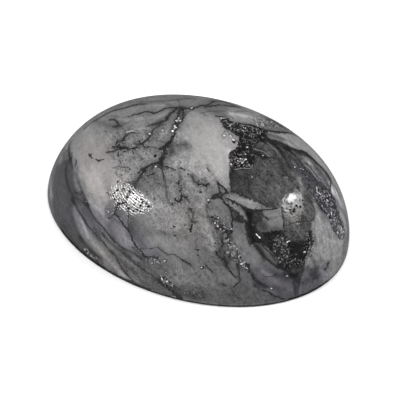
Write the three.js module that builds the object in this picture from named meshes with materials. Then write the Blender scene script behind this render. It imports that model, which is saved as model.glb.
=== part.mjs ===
// An oval cabochon cut from pinolite, a white and charcoal magnesite rock. It is one solid stone
// with a flat back, a ground bevel under its edge, a narrow girdle and a high polished dome.
// Units are millimetres. X runs along the stone, Y across it and Z up from the flat back, and
// the origin is the centre of the flat back, which the stone lies on.
import * as THREE from 'three';

// Driving dimensions of the whole stone.
const LENGTH = 30;
const WIDTH = 22;
const HEIGHT = 12;

// The edge, from the back up: a small ground bevel, then the upright girdle that a bezel grips.
const BEVEL_WIDTH = 0.35;
const BEVEL_HEIGHT = 0.3;
const GIRDLE_HEIGHT = 0.3;

// The dome's section. With r the share of the way out to the girdle, the height above the girdle
// is rise * (1 - ROUNDNESS * r^2 - (1 - ROUNDNESS) * r^SHOULDER_POWER)^(1 / WALL_POWER). A larger
// roundness curves the top more, and the shoulder power carries the dome out wide before it drops.
const ROUNDNESS = 0.4;
const SHOULDER_POWER = 4;
const WALL_POWER = 1.6;

// How much slimmer the oval is at the crown than at the girdle, as a share of its width.
const CROWN_NARROWING = 0.13;

// How finely the curved surface is divided, round the stone and from girdle to crown.
const MERIDIANS = 96;
const DOME_RINGS = 26;

// The stone's half section along its length, as (radius, height) from the centre of the back,
// out round the edge and up to the top of the dome.
function halfSection() {
  const radius = LENGTH / 2;
  const girdleTop = BEVEL_HEIGHT + GIRDLE_HEIGHT;
  const rise = HEIGHT - girdleTop;
  const points = [
    new THREE.Vector2(0, 0),
    new THREE.Vector2(radius - BEVEL_WIDTH, 0),
    new THREE.Vector2(radius, BEVEL_HEIGHT),
    new THREE.Vector2(radius, girdleTop),
  ];
  for (let ring = 1; ring < DOME_RINGS; ring++) {
    const out = Math.cos((ring / DOME_RINGS) * (Math.PI / 2));
    const drop = ROUNDNESS * out ** 2 + (1 - ROUNDNESS) * out ** SHOULDER_POWER;
    points.push(new THREE.Vector2(radius * out, girdleTop + rise * (1 - drop) ** (1 / WALL_POWER)));
  }
  points.push(new THREE.Vector2(0, HEIGHT));
  return points;
}

// The section turned round the upright axis and stood up along Z, then narrowed to the oval's
// width. The flat back keeps the girdle's proportions, and the dome grows slimmer towards its top.
function cabochonGeometry() {
  const geometry = new THREE.LatheGeometry(halfSection(), MERIDIANS).rotateX(Math.PI / 2);
  const position = geometry.getAttribute('position');
  for (let i = 0; i < position.count; i++) {
    const out = Math.hypot(position.getX(i), position.getY(i)) / (LENGTH / 2);
    const narrowing = position.getZ(i) > 0 ? CROWN_NARROWING * (1 - out ** 2) : 0;
    position.setY(i, position.getY(i) * (WIDTH / LENGTH) * (1 - narrowing));
  }
  geometry.computeVertexNormals();
  return geometry;
}

// Polished stone, in the mean grey of its white and charcoal markings.
const pinolite = new THREE.MeshStandardMaterial({
  color: 0x6b6a6b,
  roughness: 0.22,
  metalness: 0,
});

const stone = new THREE.Mesh(cabochonGeometry(), pinolite);
stone.name = 'stone';

const cabochon = new THREE.Group();
cabochon.add(stone);

export default cabochon;
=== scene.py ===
"""Pinolite cabochon: an oval polished dome of white and charcoal magnesite rock on a flat back.

The stone's markings are drawn as strokes, spots and patches on the photograph in its 400 x 400
pixels and carried onto the dome through the photograph's own camera. Sizes are in millimetres
unless a name says otherwise, in the CAD model's frame.
"""

import math

import bpy
import numpy as np
from mathutils import Matrix, Vector


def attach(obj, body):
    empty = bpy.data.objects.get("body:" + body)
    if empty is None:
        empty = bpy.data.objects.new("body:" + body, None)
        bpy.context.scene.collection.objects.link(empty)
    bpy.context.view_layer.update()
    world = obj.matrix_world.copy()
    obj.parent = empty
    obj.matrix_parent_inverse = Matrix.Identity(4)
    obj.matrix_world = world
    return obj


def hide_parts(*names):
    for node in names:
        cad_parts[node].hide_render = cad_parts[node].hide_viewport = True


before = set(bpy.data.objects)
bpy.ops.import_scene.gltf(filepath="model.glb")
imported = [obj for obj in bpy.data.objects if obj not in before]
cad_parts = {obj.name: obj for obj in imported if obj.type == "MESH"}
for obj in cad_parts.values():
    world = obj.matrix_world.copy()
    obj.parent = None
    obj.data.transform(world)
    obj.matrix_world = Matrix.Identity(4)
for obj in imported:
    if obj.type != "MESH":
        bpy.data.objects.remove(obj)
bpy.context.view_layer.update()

MM = 0.001

# The stone's real sizes, as in the CAD model.
LENGTH = 30.0
WIDTH = 22.0
HEIGHT = 12.0
GIRDLE_TOP = 0.6
ROUNDNESS = 0.4
WALL_POWER = 1.6
CROWN_NARROWING = 0.13

# The photograph's camera, worked out from the stone's outline in it.
IMAGE_SIZE = 400
CAMERA_DISTANCE = 300.0
CAMERA_ELEVATION = math.radians(48.38)
CAMERA_AZIMUTH = math.radians(6.59)
CAMERA_ROLL = math.radians(9.96)
CAMERA_OFFSET = (-0.47, -2.23)
SENSOR_WIDTH = 36.0
LENS = 280.3
FOCAL_PIXELS = LENS / SENSOR_WIDTH * IMAGE_SIZE
PIXELS_PER_MM = FOCAL_PIXELS / CAMERA_DISTANCE

# Above this height a point's place in plan tells best how far out it is, and below it its height does.
CROWN_HEIGHT = 8.58


# The dome as a surface
def half_width_per_share(out):
    """Half the dome's width at the share `out` of the way to the girdle, divided by that share."""
    return WIDTH / 2 * (1 - CROWN_NARROWING * (1 - out**2))


def dome_section(out):
    """The dome's half length, half width and height at the share `out` of the way to the girdle."""
    drop = ROUNDNESS * out**2 + (1 - ROUNDNESS) * out**4
    height = GIRDLE_TOP + (HEIGHT - GIRDLE_TOP) * np.maximum(1 - drop, 0) ** (1 / WALL_POWER)
    return LENGTH / 2 * out, half_width_per_share(out) * out, height


def out_at_height(height):
    """The share of the way to the girdle at which the dome has a height."""
    rise = np.clip((height - GIRDLE_TOP) / (HEIGHT - GIRDLE_TOP), 0, 1)
    drop = 1 - rise**WALL_POWER
    root = np.sqrt(ROUNDNESS**2 + 4 * (1 - ROUNDNESS) * drop)
    return np.sqrt(np.maximum((root - ROUNDNESS) / (2 * (1 - ROUNDNESS)), 1e-9))


def arc_table():
    """Shares of the way out, the share of a middling meridian reached at each, and its whole length."""
    out = np.sin(np.linspace(0, math.pi / 2, 3000))
    half_length, half_width, height = dome_section(out)
    radius = np.sqrt((half_length**2 + half_width**2) / 2)
    steps = np.hypot(np.diff(radius), np.diff(height))
    arc = np.concatenate([[0], np.cumsum(steps)])
    return out, arc / arc[-1], arc[-1]


TABLE_OUT, TABLE_SHARE, MERIDIAN = arc_table()


def dome_point(share, angle):
    """Points on the dome, from their share of the way down its meridian and their angle round it."""
    half_length, half_width, height = dome_section(np.interp(share, TABLE_SHARE, TABLE_OUT))
    return np.stack([half_length * np.cos(angle), half_width * np.sin(angle), height], -1)


def chart_of(points):
    """The (share, angle) of points that lie on the dome."""
    x, y, z = points.T
    out = np.hypot(x / (LENGTH / 2), y / (WIDTH / 2))
    for _ in range(12):
        out = np.hypot(x / (LENGTH / 2), y / half_width_per_share(out))
    out = np.where(z > CROWN_HEIGHT, np.minimum(out, 1), out_at_height(z))
    return np.interp(out, TABLE_OUT, TABLE_SHARE), np.arctan2(y / half_width_per_share(out), x / (LENGTH / 2))


# The photograph's camera
def camera_frame():
    """The camera's right, up and back directions, and its place."""
    sin_e, cos_e = math.sin(CAMERA_ELEVATION), math.cos(CAMERA_ELEVATION)
    sin_a, cos_a = math.sin(CAMERA_AZIMUTH), math.cos(CAMERA_AZIMUTH)
    back = np.array([sin_a * cos_e, -cos_a * cos_e, sin_e])
    level = np.array([cos_a, sin_a, 0.0])
    upright = np.cross(back, level)
    right = math.cos(CAMERA_ROLL) * level + math.sin(CAMERA_ROLL) * upright
    up = np.cross(back, right)
    place = np.array([0, 0, HEIGHT / 2]) + back * CAMERA_DISTANCE
    return right, up, back, place + right * CAMERA_OFFSET[0] + up * CAMERA_OFFSET[1]


CAMERA_RIGHT, CAMERA_UP, CAMERA_BACK, CAMERA_PLACE = camera_frame()
# A ray is tried at this many depths, up to this far before and behind the stone's middle.
RAY_TRIALS = 240
RAY_REACH = 20


def beyond_dome(points):
    """Positive outside the dome and negative inside it."""
    x, y, z = points[..., 0], points[..., 1], points[..., 2]
    out = out_at_height(z)
    gap = (x / (LENGTH / 2 * out)) ** 2 + (y / (half_width_per_share(out) * out)) ** 2 - 1
    return np.where((z > HEIGHT) | (z < 0), 1.0, gap)


def meet_dome(pixels):
    """Where the rays of photo pixels first meet the dome, and which of them meet it."""
    sideways = (pixels[:, :1] - IMAGE_SIZE / 2) / FOCAL_PIXELS
    upwards = (IMAGE_SIZE / 2 - pixels[:, 1:]) / FOCAL_PIXELS
    rays = sideways * CAMERA_RIGHT + upwards * CAMERA_UP - CAMERA_BACK
    depths = np.linspace(CAMERA_DISTANCE - RAY_REACH, CAMERA_DISTANCE + RAY_REACH, RAY_TRIALS)
    is_inside = beyond_dome(CAMERA_PLACE + rays[:, None, :] * depths[None, :, None]) < 0
    first = np.maximum(is_inside.argmax(1), 1)
    near, far = depths[first - 1], depths[first]
    for _ in range(24):
        middle = (near + far) / 2
        is_outside = beyond_dome(CAMERA_PLACE + rays * middle[:, None]) > 0
        near, far = np.where(is_outside, middle, near), np.where(is_outside, far, middle)
    return CAMERA_PLACE + rays * far[:, None], is_inside.any(1)


def onto_dome(pixels):
    """The (share, angle) on the dome of photo pixels.

    A pixel beyond the outline is brought in to it, and goes on down the hidden side from there.
    """
    pixels = np.asarray(pixels, float)
    centre = np.full(2, IMAGE_SIZE / 2)
    low, high = np.zeros(len(pixels)), np.ones(len(pixels))
    _, is_met = meet_dome(pixels)
    low[is_met] = 1
    for _ in range(14):
        middle = (low + high) / 2
        _, is_met = meet_dome(centre + (pixels - centre) * middle[:, None])
        low, high = np.where(is_met, middle, low), np.where(is_met, high, middle)
    points, _ = meet_dome(centre + (pixels - centre) * low[:, None])
    share, angle = chart_of(points)
    beyond = np.linalg.norm(pixels - centre, axis=1) * (1 - low) / PIXELS_PER_MM
    return np.minimum(share + beyond / MERIDIAN, 1.0), angle


# The markings, drawn on the photograph. A stroke's points and half width are in pixels.
# Graphite seams and hairlines, and painted shade along the lower edge: (half width, darkness, points).
SEAMS_AND_EDGE_SHADE = [
    # The top edge.
    (0.9, 0.85, [(93, 122), (100, 118), (105, 115), (109, 113), (112, 111), (116, 110), (121, 109),
                 (128, 107), (133, 105), (138, 104), (145, 104)]),
    (0.6, 0.5, [(112, 108), (116, 107), (119, 105)]),
    (1.0, 0.45, [(140, 101), (150, 101), (165, 101), (171, 100), (178, 99), (190, 98)]),
    (0.8, 0.5, [(178, 99), (179, 102), (180, 106)]),
    (1.1, 0.9, [(128, 117), (133, 115), (138, 114), (144, 112), (150, 112), (154, 113), (158, 112),
                (162, 110), (167, 108), (175, 107.5), (182, 108), (188, 108.5), (194, 108), (198, 106.5),
                (202, 105.5), (207, 105), (210, 103.5), (214, 101.5)]),
    (1.2, 0.9, [(212, 102), (217, 101), (224, 102), (230, 104), (240, 107.5)]),
    (1.3, 0.85, [(205, 107), (213, 106), (220, 105), (230, 106), (239, 107.5)]),
    (0.7, 0.6, [(200, 113.5), (204, 112.5), (208, 111.5), (216, 111), (224, 111.5), (228, 113)]),
    (0.8, 0.6, [(204, 115), (209, 115.5)]),
    (0.9, 0.9, [(216, 116), (219, 116.5), (222, 117)]),
    # The branching seam at the top, and the cracks that lead from it.
    (0.9, 0.5, [(118, 127), (124, 124), (130, 121.5), (133, 119)]),
    (1.0, 0.85, [(109, 120), (113, 119.5), (116, 121), (118, 124), (117.5, 126)]),
    (1.1, 0.85, [(115, 127), (118, 125.5), (121, 126)]),
    (0.7, 0.7, [(104, 131), (107, 132)]),
    (1.3, 0.9, [(176, 109), (173, 112), (170, 114), (168, 117), (166, 120), (163, 121.5), (159, 123),
                (156, 124)]),
    (1.1, 0.75, [(157, 124), (150, 125), (146, 127)]),
    (1.0, 0.75, [(161, 124), (157, 127), (154, 129), (152, 132), (150, 136)]),
    (1.2, 0.9, [(149, 137), (147, 140), (144, 142), (143, 144)]),
    (0.8, 0.35, [(159, 130), (157, 135), (153, 139)]),
    (0.8, 0.85, [(121, 141), (124, 137), (128, 134.5), (131, 133), (135, 133)]),
    (0.9, 0.9, [(139, 141), (140, 143), (141, 144.5)]),
    (0.7, 0.6, [(135, 144), (140, 144)]),
    (0.9, 0.85, [(143, 144), (144, 147), (147, 148)]),
    (1.0, 0.95, [(113, 147), (120, 146.5), (125, 148), (130, 149), (136, 147.5)]),
    (0.9, 0.85, [(107, 152), (113, 151), (120, 149), (127, 148)]),
    (0.7, 0.6, [(147, 147), (152, 147), (158, 148)]),
    (0.9, 0.9, [(127, 135), (124, 139), (122, 141)]),
    (0.8, 0.9, [(181.5, 109), (179, 112), (178, 116), (176, 121), (175, 126)]),
    (1.0, 1.0, [(184, 108), (183, 114), (183, 118), (181, 122), (178, 124), (177, 128), (175, 131)]),
    (1.2, 1.0, [(175, 134), (173, 137), (172, 139), (171, 141)]),
    (1.6, 1.0, [(171, 141), (168, 143.5), (165, 146), (164, 149), (166, 152), (164, 155), (163, 158),
                (161, 161)]),
    (1.5, 0.9, [(168, 144), (163, 147), (160, 149)]),
    (0.8, 0.6, [(183, 119), (185, 116), (187, 113), (190, 111), (194, 110)]),
    (0.6, 0.4, [(172, 141), (178, 145), (184, 144), (188, 144)]),
    (1.6, 1.0, [(161, 159), (161, 162), (161.5, 165)]),
    (1.1, 0.95, [(161, 162), (157, 163), (153, 164), (149, 166), (145, 168), (142, 170), (140, 172),
                 (139, 173)]),
    (1.0, 0.85, [(146, 170), (143, 172), (141, 176), (139, 178), (137, 181), (135, 182)]),
    (0.7, 0.75, [(137, 181), (130, 182), (124, 183)]),
    (0.9, 0.95, [(161, 165), (162, 170), (163, 174), (164, 178)]),
    (0.8, 0.55, [(164, 178), (166, 182), (166, 187), (167, 193), (168, 199), (171, 204)]),
    (0.6, 0.8, [(161, 165), (165, 167), (168, 167.5), (172, 168.5), (176, 170)]),
    (0.9, 0.85, [(147, 176), (150, 175), (153, 174), (156, 172)]),
    (0.9, 0.8, [(179, 181), (178.5, 184)]),
    (0.7, 0.35, [(181, 177), (181, 180)]),
    (0.9, 0.85, [(181, 196), (183, 197), (187, 197), (188, 196)]),
    (1.1, 1.0, [(175.5, 199.5), (177, 201), (180, 201.3), (181, 199), (181.5, 196), (182, 195)]),
    (0.9, 0.85, [(187, 199), (189, 202)]),
    (1.0, 0.9, [(171, 203), (173, 205)]),
    (0.8, 0.8, [(192, 175), (193, 179), (196, 182), (199, 184), (203, 184.5)]),
    (0.9, 0.85, [(203, 184.5), (206, 185), (208, 184), (210, 183)]),
    (0.8, 0.6, [(206, 185), (207, 188), (206, 191)]),
    (0.8, 0.8, [(207, 168), (209, 171)]),
    # The left end.
    (0.9, 0.9, [(76.5, 161), (76, 163), (75, 166)]),
    (0.7, 0.45, [(78, 167), (76, 170)]),
    (1.0, 0.9, [(89, 154), (91, 157), (92, 158)]),
    (0.8, 0.9, [(96, 159), (98, 160.5), (101, 160), (104, 159.5)]),
    (0.6, 0.7, [(116, 167), (120, 166), (123, 167.5), (127, 167)]),
    (0.8, 0.6, [(119, 160), (121, 162)]),
    (1.1, 0.85, [(71, 141), (69, 147), (69, 152), (70, 158), (71, 161)]),
    (1.6, 0.55, [(70, 158), (67, 165), (66, 173), (67, 181), (70, 190)]),
    (0.9, 0.7, [(72, 152), (72, 158)]),
    (1.1, 0.7, [(75, 192), (78, 193.5), (81, 194)]),
    (1.0, 0.75, [(81, 190), (84, 196), (87, 202), (89, 206)]),
    (0.9, 0.6, [(73, 197), (80, 200), (86, 205)]),
    # The long bands at the lower left.
    (1.1, 0.75, [(71, 200), (76, 206), (80, 213), (84, 219), (88, 226), (92, 230), (97, 236), (101, 240),
                 (106, 246), (111, 252), (116, 258), (121, 266), (124, 271), (128, 276), (131, 279),
                 (136, 283)]),
    (1.1, 0.75, [(84, 203), (88, 207), (91, 212), (94, 218), (99, 224), (104, 229), (109, 235), (113, 240),
                 (118, 245), (124, 249), (130, 251), (135, 254), (142, 259)]),
    (2.2, 0.35, [(86, 209), (90, 216), (95, 222)]),
    (1.1, 0.7, [(103, 233), (103.5, 236), (105, 238)]),
    (0.7, 0.7, [(109, 208), (110, 211), (109, 213)]),
    (0.8, 0.9, [(115, 213), (113, 216), (110, 218.5), (108.5, 218)]),
    (1.0, 0.95, [(118, 203), (117, 206), (116, 209), (115.5, 213), (118, 217), (121, 221), (124, 226),
                 (128, 230), (131, 234), (132, 237), (132, 240), (134, 243), (136, 246), (139, 249),
                 (143, 253), (145, 257)]),
    (0.7, 0.75, [(128, 211), (128.5, 216), (128, 221), (129, 227), (130, 232), (132, 236)]),
    (1.9, 0.4, [(130, 221), (131.5, 228), (132, 235)]),
    # The lower middle.
    (0.6, 0.5, [(138, 248.5), (145, 248.5), (151, 248.5), (155, 247.5), (158, 247)]),
    (0.7, 0.75, [(158, 247), (161, 250), (165, 253), (169, 254.5), (174, 254.5), (178, 257), (182, 260),
                 (186, 262), (190, 264)]),
    (1.0, 0.85, [(182, 260), (187, 262.5), (190, 264.5)]),
    (1.0, 0.8, [(144, 255), (147, 257), (152, 257), (158, 258)]),
    (0.8, 0.8, [(191.5, 209), (192, 212), (193, 215), (193, 218)]),
    (0.8, 0.75, [(190, 221), (193, 221.5), (197, 222)]),
    (1.0, 0.95, [(192, 224), (192, 227)]),
    (1.1, 0.95, [(190, 229), (190.5, 230.5), (191, 232)]),
    (0.7, 0.5, [(191, 209), (195, 209)]),
    (0.9, 0.6, [(179, 238), (177, 241.5)]),
    (0.8, 0.4, [(185, 200), (185, 207)]),
    (1.7, 0.7, [(124, 253), (131, 260), (136, 264), (141, 268), (146, 272), (150, 274), (154, 277),
                (158, 281)]),
    (2.3, 0.85, [(156, 279), (161, 283), (165, 286), (170, 290), (175, 294), (181, 298)]),
    (0.9, 0.7, [(171, 283), (176, 287), (180, 289.5)]),
    (0.8, 0.7, [(132, 247), (138, 252), (143, 256)]),
    (0.9, 0.9, [(216, 251), (217, 254), (219, 257)]),
    (1.2, 0.9, [(221, 258), (224, 260), (226, 262), (226, 266), (228, 268)]),
    (0.9, 0.85, [(229, 269), (230, 271), (232, 274), (235, 277)]),
    (0.9, 0.85, [(237, 264), (238, 268), (239, 273), (239.5, 279), (240, 281), (237, 284), (234, 287)]),
    (1.2, 0.85, [(247, 264), (249, 268), (250, 272), (252, 275), (254, 279)]),
    (0.8, 0.8, [(206, 265), (209, 269), (212.5, 272.5)]),
    (0.9, 0.7, [(266, 277), (272, 276), (276, 274)]),
    (1.0, 0.7, [(222, 283.5), (226, 286)]),
    (1.1, 0.85, [(263, 290), (268, 292), (271, 294), (277, 297), (284, 299)]),
    (0.9, 0.55, [(229, 294.5), (236, 295)]),
    # The leaf-shaped crystals, and the stone round them.
    (1.1, 1.0, [(211, 198.5), (215, 198), (220, 196), (224, 194), (228, 192.5)]),
    (0.8, 0.9, [(212, 197), (216, 194.5), (220, 193)]),
    (0.8, 0.95, [(217.5, 183), (218.5, 187), (220.5, 193)]),
    (0.9, 1.0, [(217.5, 182.5), (219.5, 184), (224, 188), (228, 192.5)]),
    (1.1, 1.0, [(220, 197), (223, 200), (225, 203), (227, 205), (230, 208.5)]),
    (0.9, 1.0, [(227, 198), (230, 199.5), (236, 203), (240, 205), (245, 208), (249, 209)]),
    (1.2, 1.0, [(242, 207.5), (248, 210), (255, 210.6), (262, 210.2)]),
    (0.7, 0.7, [(284, 226), (290, 224.5), (296, 222.4), (302, 221.6), (308, 221.4), (313, 220)]),
    (0.8, 0.95, [(262, 209.8), (270, 209.5), (277, 208.5)]),
    (0.8, 0.9, [(231, 209), (234, 210), (238, 213), (242, 218), (247, 221.5)]),
    (0.8, 0.9, [(231, 212), (233, 217), (236, 220), (241, 222), (248, 221.5)]),
    (1.2, 1.0, [(232, 217), (232.5, 222), (232, 227), (230.5, 232)]),
    (1.0, 0.95, [(261, 212), (263, 215.5), (266, 218), (269, 219.5)]),
    (0.6, 0.6, [(269, 219), (275, 217.5), (282, 216)]),
    (1.1, 0.95, [(253.5, 224), (257, 222)]),
    (0.7, 0.85, [(281, 207), (282, 212), (283, 218), (284, 222), (283.5, 228)]),
    (0.5, 0.35, [(271, 217), (278, 216)]),
    (0.5, 0.35, [(279, 215), (283, 216)]),
    (0.9, 1.0, [(254, 234), (257, 239), (260, 242)]),
    (1.0, 0.9, [(254, 244), (258, 249), (262, 254), (267, 259), (273, 264), (278, 268)]),
    (0.8, 0.8, [(262, 245), (267, 250), (272, 255), (275, 260)]),
    # The upper right, and the charcoal crystal.
    (1.5, 0.95, [(265, 130), (270, 131), (277, 132), (285, 132.5), (290, 133), (296, 135.5), (301, 139)]),
    (0.5, 0.4, [(269, 134), (275, 134)]),
    (1.2, 0.95, [(286, 147), (292, 149), (298, 150.5), (304, 151.5), (310, 156), (316, 162), (322, 168),
                 (327, 173.5), (330, 178), (331, 184), (330, 190)]),
    (0.8, 0.55, [(332, 183), (337, 190), (341, 198), (345, 208), (347, 219)]),
    (1.0, 0.9, [(301, 152), (307, 152.5)]),
    (0.8, 0.8, [(307, 163), (312, 170), (317, 176), (320, 179)]),
    (1.0, 0.85, [(320, 182), (325, 187), (330, 193), (334.5, 202), (338, 212)]),
    (0.9, 0.85, [(309, 184), (314, 195), (320, 206), (326, 213)]),
    (0.8, 0.85, [(257, 152), (262, 154.5), (268, 157), (275, 158)]),
    (0.8, 0.8, [(272, 150), (276, 153)]),
    (0.8, 0.8, [(278, 147), (281, 152), (285, 158)]),
    (0.8, 0.8, [(282, 146), (286, 151), (289, 156)]),
    (0.9, 0.9, [(233, 151), (230.5, 153), (229.5, 158)]),
    (0.9, 0.85, [(230.5, 168), (230, 174), (230.5, 180), (231.5, 186), (231.5, 192)]),
    (0.8, 0.9, [(240, 123.5), (248, 124.5), (254, 125.5), (262, 128.5)]),
    (0.7, 0.8, [(296, 222.5), (302, 221)]),
    (0.9, 0.8, [(324, 269.5), (327, 267), (329, 263)]),
    # The lower edge: painted shade, the dark line along the foot of the stone.
    (1.2, 0.95, [(61, 227), (66, 236), (73, 244), (81, 251.5), (89, 258), (97, 263.5), (108, 270),
                 (118, 275.5)]),
    (1.1, 0.85, [(118, 275.5), (128, 281), (138, 286), (150, 290.5)]),
    (1.0, 0.9, [(290, 298.5), (300, 296), (310, 292), (320, 286.5), (328, 281)]),
    # Cleavage lines in the crystals.
    (0.4, 0.35, [(230, 196), (240, 200), (250, 204), (258, 207)]),
    (0.4, 0.3, [(233, 193.5), (244, 198.5), (254, 203), (262, 206.5)]),
    (0.4, 0.35, [(262, 216), (268, 214), (275, 212)]),
    (0.4, 0.35, [(264, 224), (270, 222.5), (278, 222)]),
    (0.4, 0.3, [(260, 228), (268, 226.5), (276, 227)]),
    (0.9, 0.9, [(253, 151.5), (259, 155), (264, 157), (269, 158)]),
    (0.7, 0.7, [(254, 147), (258, 142.5), (264, 141)]),
    (0.5, 0.4, [(262, 134), (268, 140), (274, 148), (279, 157), (283, 164)]),
    (0.5, 0.4, [(270, 138), (276, 146), (282, 156), (287, 164), (293, 170)]),
    (0.5, 0.4, [(282, 148), (290, 156), (297, 163), (303, 168)]),
]
# Spots of graphite, as (x, y, radius, darkness) in pixels.
SPOTS = [
    (123, 140, 1.3, 0.95), (118, 142, 1.2, 0.95), (116, 144, 1.0, 0.8), (119, 145, 0.9, 0.8),
    (154, 113.5, 1.2, 0.8), (113, 127, 0.9, 0.7), (118.5, 155, 1.3, 0.95), (130, 169, 1.1, 0.85),
    (128, 151, 0.9, 0.5), (142, 160, 1.1, 0.5), (181.5, 168, 1.2, 0.95), (178, 165, 0.9, 0.4),
    (187.5, 174, 1.1, 0.75), (178, 158, 0.9, 0.4), (167.5, 167, 1.2, 0.95), (175, 170, 0.9, 0.5),
    (172, 171, 1.0, 0.4), (159, 180, 1.0, 0.6), (182, 188, 1.1, 0.6), (180, 190.7, 1.3, 1.0),
    (178.2, 183.3, 1.6, 1.0), (179, 181.2, 1.2, 1.0), (200.5, 192.5, 1.0, 0.9), (195, 190, 0.9, 0.4),
    (205, 158, 0.9, 0.35), (211, 165, 0.9, 0.3), (199, 184.5, 1.1, 0.9), (206, 186, 1.2, 0.8),
    (208.5, 183.5, 1.1, 0.9), (230, 184, 1.0, 0.9), (154, 166.5, 1.0, 0.9), (158, 167, 1.1, 0.95),
    (107, 193, 0.9, 0.7), (110, 195, 0.9, 0.6), (113, 168, 0.7, 0.5), (118, 181, 0.8, 0.6),
    (99, 160.5, 1.1, 0.9), (90.5, 156, 1.3, 0.9), (116, 172, 0.9, 0.4), (234, 142, 1.9, 1.0),
    (143, 236, 0.9, 0.6), (142, 232, 0.9, 0.4), (174.3, 226.5, 1.4, 1.0), (174, 236, 1.3, 0.9),
    (172, 230, 0.8, 0.3), (173, 213, 1.0, 0.4), (153, 219, 1.0, 0.25), (157, 217, 1.0, 0.25),
    (185, 237, 1.0, 0.35), (151, 248.5, 0.9, 0.9), (172, 203.5, 1.1, 0.9), (177.5, 201, 1.2, 0.95),
    (198, 250, 0.8, 0.8), (198, 255, 0.8, 0.8), (195, 249.5, 0.8, 0.6), (212, 218, 1.3, 0.8),
    (217, 219, 0.9, 0.7), (219, 229, 1.1, 0.9), (216.5, 228, 0.9, 0.8), (221, 226, 1.0, 0.8),
    (226, 231, 0.9, 0.9), (230.5, 230, 0.9, 0.9), (232.5, 231.5, 0.9, 0.9), (222, 240, 1.1, 0.8),
    (223, 244, 1.2, 0.85), (231, 216, 0.8, 0.7), (238, 252, 0.9, 0.8), (237.5, 255, 1.0, 0.9),
    (223.5, 259.5, 1.3, 0.95), (237.5, 265.5, 1.2, 0.95), (203, 268, 1.3, 0.95), (203, 292, 1.3, 0.6),
    (213, 296, 0.9, 0.5), (195.5, 274, 1.4, 0.4), (175, 275, 0.9, 0.5), (198, 280, 1.0, 0.3),
    (268, 219, 1.1, 0.95), (256, 223, 1.0, 0.9), (209, 203, 0.9, 0.8), (303, 247, 1.1, 0.9),
    (313, 241, 1.2, 0.9), (310, 233, 1.0, 0.8), (325, 269, 1.2, 0.85), (191.5, 209, 1.1, 0.9),
    (190.3, 229.3, 1.6, 1.0), (192.2, 225.3, 1.4, 1.0), (165, 147, 1.8, 0.95), (168, 146, 1.2, 0.9),
    (203, 283, 0.9, 0.35), (224, 285.5, 1.1, 0.7), (123.6, 188.2, 1.0, 1.0), (130.4, 192.1, 1.0, 1.0),
    (127.1, 197.5, 1.1, 1.0), (122.8, 203.2, 1.1, 1.0), (135.7, 199, 0.7, 0.9), (141.8, 199.3, 0.8, 1.0),
    (146.4, 203.6, 0.9, 1.0), (147.9, 207, 0.6, 0.9), (116.4, 191.4, 0.8, 0.9), (109.3, 195, 0.7, 0.6),
    (106.4, 193.2, 0.7, 0.6), (117.9, 181.4, 0.8, 0.9), (114.6, 193, 0.7, 0.7), (286.5, 202.5, 0.7, 1.0),
    (291, 203.5, 0.8, 1.0), (303, 200.3, 0.7, 0.9), (286, 208, 0.7, 1.0), (290, 210, 0.8, 1.0),
    (293.7, 209.4, 0.8, 1.0), (233, 201.5, 0.9, 1.0), (237, 204.2, 0.9, 1.0), (241, 206.4, 0.9, 1.0),
    (245, 208.6, 1.0, 1.0), (249, 209.8, 1.0, 1.0), (253, 210.3, 1.0, 1.0), (257, 210.2, 0.9, 1.0),
    (261, 209.9, 0.8, 1.0), (228, 204.5, 0.8, 1.0), (231, 207.5, 0.9, 1.0), (235, 210.5, 0.9, 1.0),
    (239, 212.5, 0.8, 1.0), (243, 216.5, 0.8, 1.0), (229, 200, 0.8, 1.0), (233, 203, 0.8, 1.0),
    (238, 206, 0.8, 1.0), (234, 192.2, 0.8, 1.0), (238, 193, 0.8, 1.0), (242, 195.2, 0.8, 1.0),
    (246, 197.2, 0.8, 1.0), (250, 198.7, 0.8, 1.0), (254, 200.6, 0.8, 1.0), (299, 221.6, 1.0, 1.0),
    (296.6, 222, 0.7, 0.9), (310.6, 232.6, 1.3, 1.0), (310.8, 236.6, 1.1, 0.9), (313.6, 241, 1.3, 1.0),
    (311.6, 245, 1.1, 0.9), (310.4, 250, 1.0, 0.9), (327.4, 263.6, 1.2, 1.0), (302.8, 251, 1.2, 1.0),
    (224, 201.5, 1.1, 1.0), (227.5, 205.8, 1.0, 1.0), (231, 210.6, 1.1, 1.0), (232.6, 219.6, 1.2, 1.0),
    (232, 223.4, 1.1, 1.0), (229.8, 231, 1.0, 1.0), (228.6, 234, 1.1, 0.9), (228, 238, 1.0, 0.9),
    (222.4, 242.5, 1.2, 0.9), (222, 246, 1.0, 0.7), (224, 234, 1.6, 0.3), (226, 262, 1.0, 0.9),
    (248.4, 265.4, 1.2, 0.9), (248.8, 272, 1.0, 0.8), (240.6, 257.5, 0.7, 0.8), (237, 258.6, 0.9, 0.8),
    (186, 214, 0.9, 0.3), (163, 220, 1.0, 0.3), (207, 216, 0.9, 0.5), (229, 128, 1.0, 0.9),
    (225, 127, 1.1, 0.9),
]
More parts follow.
